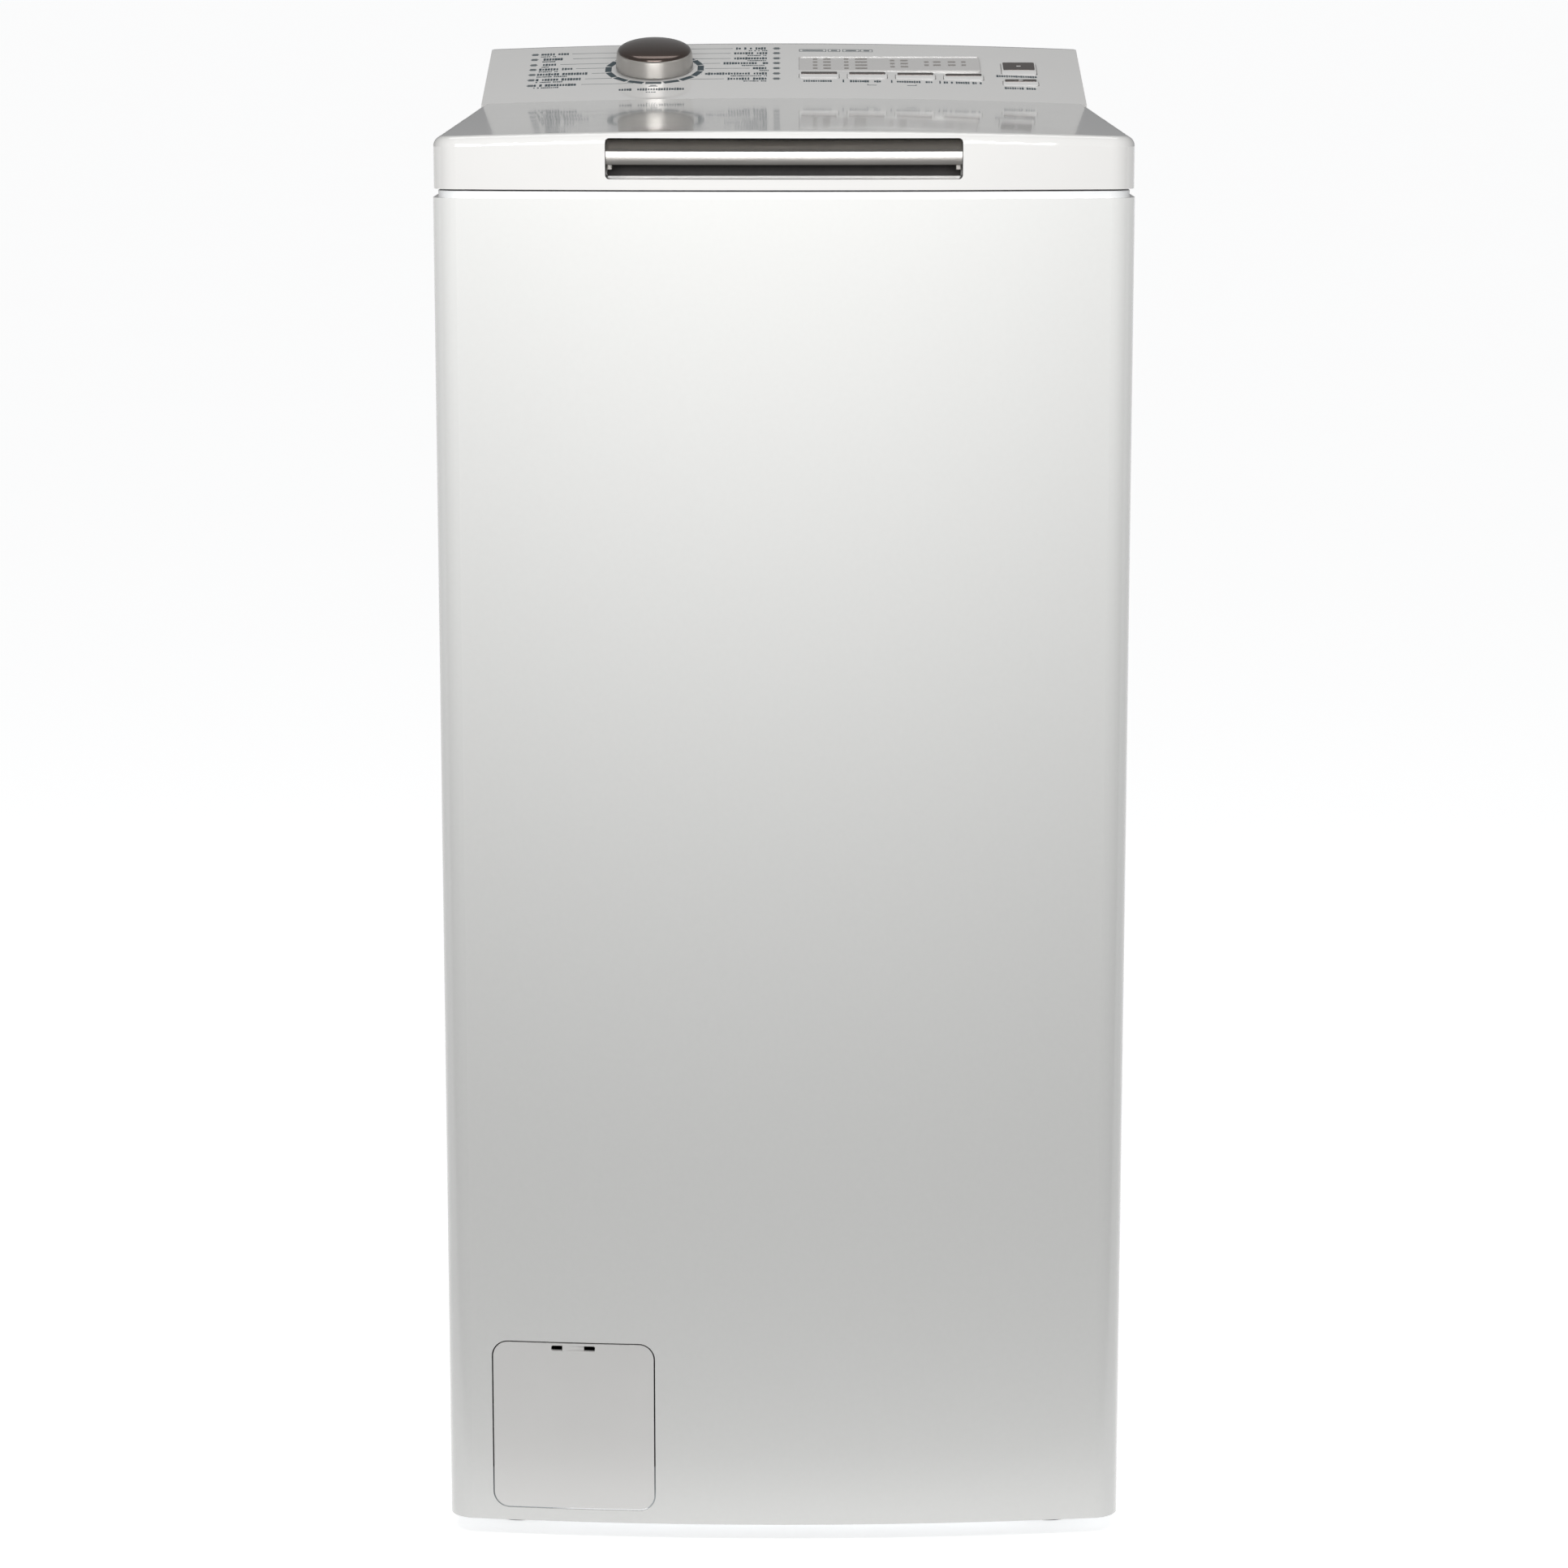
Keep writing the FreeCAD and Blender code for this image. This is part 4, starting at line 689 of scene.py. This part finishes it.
def icon_and_leader(side, up, inner):
    """Strokes of a leader line from the ring to the text, and of the small icon beyond the text."""
    reach = math.sqrt(max((RING_RADIUS + LEADER_GAP) ** 2 - up ** 2, LEADER_LEAST ** 2))
    lines = [((side * reach, up), (side * (inner - 2), up), 0.45)]
    for rise in (-1.5, 0, 1.5):
        half = 2.6 - abs(rise) / 2
        lines.append(((side * ICON_OUT - half, up + rise), (side * ICON_OUT + half, up + rise), 1.1))
    return lines


def make_knob_scale():
    """The printed ring of blocks round the knob, and a legend and a leader line for each setting."""
    segments = grown("knob_scale", ring_of_blocks(SLATE_INK), on_slope(0, 0, PRINT / 2),
                     Count=RING_BLOCKS, Radius=RING_RADIUS * MM, Length=4.2 * MM, Width=10.6 * MM,
                     Height=PRINT)
    print_on_console("knob_scale", segments)
    bold = word_row(SLATE_INK)
    legends = [(-1, *legend) for legend in LEFT_LEGENDS] + [(1, *legend) for legend in RIGHT_LEGENDS]
    lines = []
    for number, (side, up, inner, length) in enumerate(legends, 1):
        print_legend(bold, number, side, up, inner, length)
        lines += icon_and_leader(side, up, inner)
    strokes("legend_leaders", lines, GREY_INK)
    for drop, tall, length in LOW_ROWS:
        print_words("legend_low_%d" % drop, bold, (-length / 2, -drop), length, 1.75, 1.25, tall, 31)
    strokes("legend_low_icon", [((-3, -38), (3, -38), 1.2), ((-2, -36), (2, -36), 1.0)], GREY_INK)


OPTION_KEYS = ["option_button_%d" % (index + 1) for index in range(4)]
KEY_DEPTH = 9.4      # from a key's foot to its face
LIP_LENGTH = 5       # how much of a key's length is its sloping white lip

# The words under the keys: key, drop from the key's middle, and length
KEY_WORDS = [(name, 11, 20 + 2 * index) for index, name in enumerate(OPTION_KEYS)]
KEY_WORDS += [("power_button", 16.5, 30), ("start_button", 11, 21)]


def make_key(name):
    """A white key with a lip that slopes to the front and a metallised face behind it, coloured dark brown
    as a painted reflection.
    """
    x, up, out = slope_place(name)
    low, high = box(name)
    width = (high.x - low.x) / MM
    length = slope_length(name, KEY_DEPTH)
    seat = on_slope(x, up, out + KEY_DEPTH / 2 * MM)
    outer = rounded_outline(width, length, 2)
    rounded = rounded_outline(width - 0.4, length - 0.4, 1.9)
    face = rounded_outline(width - 1, length - LIP_LENGTH, 1.2)
    sections = [(outer, -KEY_DEPTH), (outer, -1.0), (rounded, -0.7), (shifted(face, LIP_LENGTH / 2), 0)]
    body = stacked(name + "_body", sections, seat, 25)
    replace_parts(piece(name + "_body", body, KEY_LIP, name), name)
    inset = [(across * (width - 2.4) / (width - 1), along * 0.86) for across, along in face]
    cap = shifted(inset, LIP_LENGTH / 2)
    # the key's face is dark brown as a painted reflection
    piece(name + "_cap", stacked(name + "_cap", [(cap, -0.3), (cap, 0.25)], seat), PAINTED_DARK_REFLECTION, name)
    if name not in OPTION_KEYS:
        dot = shifted(rounded_outline(3, 1.2, 0.5), LIP_LENGTH / 2)
        piece(name + "_light", stacked(name + "_light", [(dot, 0.1), (dot, 0.35)], seat), KEY_LIP, name)


def make_key_ticks():
    """The ticks between the option keys, and the bracket that joins the middle two."""
    places = [(x / MM, up / MM) for x, up, out in map(slope_place, OPTION_KEYS)]
    lines = []
    for (first, up), (second, other_up) in zip(places, places[1:]):
        between = (first + second) / 2
        lines.append(((between, up - 8), (between, up - 13.5), 0.9))
    left, right = places[1][0], places[2][0]
    level = places[0][1] - 19
    lines += [((left, level + 2), (left, level), 0.5), ((left, level), (left + 6, level), 0.5),
              ((right - 6, level), (right, level), 0.5), ((right, level), (right, level + 2), 0.5)]
    strokes("key_ticks", lines, SLATE_INK)


def make_keys():
    for name in OPTION_KEYS + ["power_button", "start_button"]:
        make_key(name)
    bold = word_row(SLATE_INK)
    for index, (name, drop, length) in enumerate(KEY_WORDS):
        x, up, out = slope_place(name)
        print_words(name + "_label", bold, (x / MM - length / 2, up / MM - drop), length, 1.6, 1.15, 4.4,
                    50 + index)
    make_key_ticks()


WINDOW_DEPTH = 2.9     # from the display window's foot to its face
MARK_PITCH = 6.8       # between the rows of marks behind the display
MARK_HALF = 1.4        # half a mark's height

# Columns of marks on the display: distance across from its middle, width, and how many rows
MARK_COLUMNS = [(-50, 3, 4), (-42, 5, 4), (-29, 3, 4), (-19, 8, 4), (2, 3, 3), (10, 5, 3), (25, 3, 2),
                (32, 5, 2), (42, 5, 2), (50, 3, 2)]

# Printed badges above the display: left end, across from its middle, and width
BADGES = [(-60.5, 18), (-41, 8), (-31, 11), (-19, 8)]
BADGE_RISE = 14        # from the display's top edge to the badges' middle line
BADGE_HALF = 2.4


def make_display_marks(seat):
    form = bmesh.new()
    for across, wide, rows in MARK_COLUMNS:
        for row in range(rows):
            along = MARK_PITCH * ((rows - 1) / 2 - row)
            corners = [(across + dx * wide / 2, along + dy * MARK_HALF)
                       for dx, dy in ((-1, -1), (1, -1), (1, 1), (-1, 1))]
            form.faces.new([form.verts.new((x * MM, y * MM, PRINT)) for x, y in corners])
    piece("display_marks", finished_mesh("display_marks", form, seat), PALE_INK, "cabinet")


def make_badges(middle_x, middle_up):
    """Outlined badges, each with a thick dash inside in place of its words."""
    low, high = middle_up - BADGE_HALF, middle_up + BADGE_HALF
    lines = []
    for start, wide in BADGES:
        left = middle_x + start
        right = left + wide
        lines += [((left, high), (right, high), 0.5), ((left, low), (right, low), 0.5),
                  ((left, low), (left, high), 0.5), ((right, low), (right, high), 0.5),
                  ((left + 2, middle_up), (right - 2, middle_up), 1.8)]
    strokes("display_badges", lines, GREY_INK)


def make_display():
    """The display's pale pane, the bright step at its top edge, and the marks and badges by it."""
    x, up, out = slope_place("display_window")
    low, high = box("display_window")
    width = (high.x - low.x) / MM
    length = slope_length("display_window", WINDOW_DEPTH)
    seat = on_slope(x, up, out + WINDOW_DEPTH / 2 * MM)
    outer = rounded_outline(width, length, 2)
    pane = [(outer, -WINDOW_DEPTH), (outer, -0.3), (rounded_outline(width - 0.6, length - 0.6, 1.8), 0)]
    glass = piece("display_pane", stacked("display_pane", pane, seat), DISPLAY, "cabinet")
    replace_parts(glass, "display_window")
    step = shifted(rounded_outline(width - 2, 1.3, 0.5), length / 2 - 1)
    piece("display_step", stacked("display_step", [(step, -0.2), (step, 0.5)], seat), KEY_LIP, "cabinet")
    make_display_marks(seat)
    make_badges(x / MM, up / MM + length / 2 + BADGE_RISE)


# The handle's bar, seen from its end: back from the front's face and up from its foot
BAR_SECTION = [(1.1, 0), (0.6, 0.4), (0, 7.0), (0.3, 8.0), (1.0, 8.8), (6.5, 13.6), (7.6, 14), (11, 14),
               (11, 12.6), (7.6, 12.4), (2.8, 8.2), (3.6, 0)]
BAR_STEPS = 48
BAR_SHARE = 0.996      # of the CAD handle's width that the bar fills
RECESS_HEIGHT = 21.4   # of the black sheet behind the bar, painted shade in the recess


def make_handle_bar(half, front, foot):
    """The section above, swept along the bow of the front."""
    form = bmesh.new()
    rings = []
    for step in range(BAR_STEPS + 1):
        x = half * BAR_SHARE * (2 * step / BAR_STEPS - 1)
        rings.append([form.verts.new((x, front + bow(x) + back * MM, foot + rise * MM))
                      for back, rise in BAR_SECTION])
    for first, second in zip(rings, rings[1:]):
        for place in range(len(BAR_SECTION)):
            after = (place + 1) % len(BAR_SECTION)
            form.faces.new((first[place], first[after], second[after], second[place]))
    form.faces.new(rings[0][::-1])
    form.faces.new(rings[-1])
    bar = piece("handle_bar", finished_mesh("handle_bar", form, None, 30), SATIN_BAR, "lid")
    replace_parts(bar, "lid_handle")


def make_handle():
    """A bent metal bar that follows the bow of the front, its brackets, and a black sheet in the recess as
    painted shade.
    """
    low, high = box("lid_handle")
    half = (high.x - low.x) / 2
    make_handle_bar(half, low.y, low.z + 3 * MM)
    outline = rounded_outline(3.6, 16, 1)
    for name, side in (("handle_bracket_left", -1), ("handle_bracket_right", 1)):
        place = Matrix.Translation((side * (half - 2.2 * MM), high.y - 9 * MM, low.z + 0.2 * MM))
        piece(name, stacked(name, [(outline, 0), (outline, 11)], place), SATIN_BAR, "lid")
    # a black sheet at the back of the handle's recess: painted shade
    outline = rounded_outline(2 * half / MM - 1, 0.5, 0.2)
    place = Matrix.Translation((0, high.y - 0.6 * MM, high.z - 21 * MM))
    shade_sheet = stacked("handle_recess_shade", [(outline, 0), (outline, RECESS_HEIGHT)], place)
    piece("handle_recess_shade", shade_sheet, RECESS_SHADE, "lid")


def make_door_tab():
    """The tab in the filter door's finger notch, with a dark slot left at each side of it."""
    low, high = box("filter_door")
    centre = (low.x + high.x) / 2
    front = box("front_panel")[0].y + bow(centre)
    place = Matrix.Translation((centre, front + 1.4 * MM, high.z - 5 * MM))
    outline = rounded_outline(13, 2, 0.5)
    piece("door_tab", stacked("door_tab", [(outline, 0), (outline, 4)], place), WHITE_ABS, "filter_door")


SOFT_PARTS = {
    "tub_gasket": (GREY_RUBBER, "black_rubber"),
    "suspension_spring_left": (BRIGHT_STEEL, "galvanised_steel"),
    "suspension_spring_right": (BRIGHT_STEEL, "galvanised_steel"),
    "sump_hose": (RUBBER, "black_rubber"),
}


def make_soft_parts():
    """The bellows and springs hang from the cabinet and the sump hose stands in it, and all stretch
    to the suspended tub. Each is a copy of its CAD node."""
    for node, (finish, slot) in SOFT_PARTS.items():
        source = frame["nodes"][node]
        mesh = source.data.copy()
        mesh.transform(source.matrix_world)
        mesh.materials.clear()
        mesh.materials.append(finish)
        part = bpy.data.objects.new(node + "_soft", mesh)
        bpy.context.scene.collection.objects.link(part)
        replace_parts(part, node)
        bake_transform(part)


# The studio

FLOOR_GLOW = 0.72    # the floor under and behind the machine glows, like a light table
GLOW_START = 0.2     # metres in front of the machine where that glow begins
GLOW_FULL = 0.03     # metres in front of it where the glow is full
FLOOR_HALF_WIDTH, FLOOR_HALF_DEPTH = 300.0, 900.0    # metres, past what the camera sees


def make_floor():
    form = bmesh.new()
    corners = [(-1, -1), (1, -1), (1, 1), (-1, 1)]
    form.faces.new([form.verts.new((x * FLOOR_HALF_WIDTH, y * FLOOR_HALF_DEPTH, 0)) for x, y in corners])
    mesh = bpy.data.meshes.new("studio_floor")
    form.to_mesh(mesh)
    form.free()
    floor = bpy.data.objects.new("studio_floor", mesh)
    bpy.context.scene.collection.objects.link(floor)
    paper = mottle(material("lit_studio_floor", "#f2f2f2", 0.9), "#f3f3f3", "#f0f0f0", 900.0, 0.9, 0.02)
    shader = paper.node_tree.nodes["Principled BSDF"]
    shader.inputs["Emission Color"].default_value = srgb("#ffffff")
    split = add(paper.node_tree, "ShaderNodeSeparateXYZ", Vector=place_of(paper))
    fade = {"interpolation_type": "SMOOTHERSTEP", "From Min": cad_low.y - GLOW_START,
            "From Max": cad_low.y - GLOW_FULL, "To Min": 0.0, "To Max": FLOOR_GLOW}
    glow = add(paper.node_tree, "ShaderNodeMapRange", fade, Value=split.outputs[1])
    paper.node_tree.links.new(glow.outputs[0], shader.inputs["Emission Strength"])
    mesh.materials.append(paper)
    floor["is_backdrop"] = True


def soft_light(name, place, target, size, radiance):
    """A soft box: size in metres, radiance in the render's own units."""
    lamp = bpy.data.lights.new(name, "AREA")
    lamp.shape = "RECTANGLE"
    lamp.size, lamp.size_y = size
    lamp.energy = radiance * math.pi * size[0] * size[1]
    item = bpy.data.objects.new(name, lamp)
    bpy.context.scene.collection.objects.link(item)
    item.visible_camera = False
    item.location = place
    item.rotation_euler = (Vector(target) - Vector(place)).to_track_quat("-Z", "Y").to_euler()


ROOM_STRENGTH = 0.3
FRONT_RADIANCE, TOP_RADIANCE = 9.9, 1.9


def make_lights():
    """A dim even room, a near box a little above the lid, whose light fades down the cabinet's face,
    and a broad box overhead for the lid and the console."""
    world = bpy.data.worlds.new("studio")
    bpy.context.scene.world = world
    world.use_nodes = True
    world.node_tree.nodes["Background"].inputs["Color"].default_value = srgb("#f6f7f8")
    world.node_tree.nodes["Background"].inputs["Strength"].default_value = ROOM_STRENGTH
    soft_light("front_box", (-0.05, cad_low.y - 0.75, 1.0), (0, cad_low.y, 0.98), (0.9, 0.3),
               FRONT_RADIANCE)
    over_console = cad_high.y - 0.2
    soft_light("top_box", (0, over_console, 2.1), (0, over_console, cad_high.z), (1.6, 0.5),
               TOP_RADIANCE)
    bpy.context.scene.view_settings.view_transform = "Standard"


CAMERA_AWAY = 2.5      # metres in front of the cabinet
CAMERA_HEIGHT = 0.92   # metres above the floor: a little above the lid
FILL = 0.945           # how much of the frame's height the machine takes
SENSOR = 36            # millimetres


def make_camera():
    camera = bpy.data.cameras.new("studio_camera")
    item = bpy.data.objects.new("studio_camera", camera)
    bpy.context.scene.collection.objects.link(item)
    place = Vector((0, cad_low.y - CAMERA_AWAY, CAMERA_HEIGHT))
    top = box("console_shell")[1]
    bottom = Vector((0, cad_low.y, box("front_panel")[0].z))
    up_angle, down_angle = (math.atan2(point.z - place.z, point.y - place.y) for point in (top, bottom))
    aim = (up_angle + down_angle) / 2
    item.location = place
    item.rotation_euler = (math.pi / 2 + aim, 0, 0)
    half = math.tan((up_angle - down_angle) / 2) / FILL
    camera.sensor_width = SENSOR
    camera.lens = SENSOR / 2 / half
    bpy.context.scene.camera = item


dress_cad_nodes()
make_camera()
make_knob()
make_knob_scale()
make_keys()
make_display()
make_handle()
make_door_tab()
make_soft_parts()
make_floor()
make_lights()
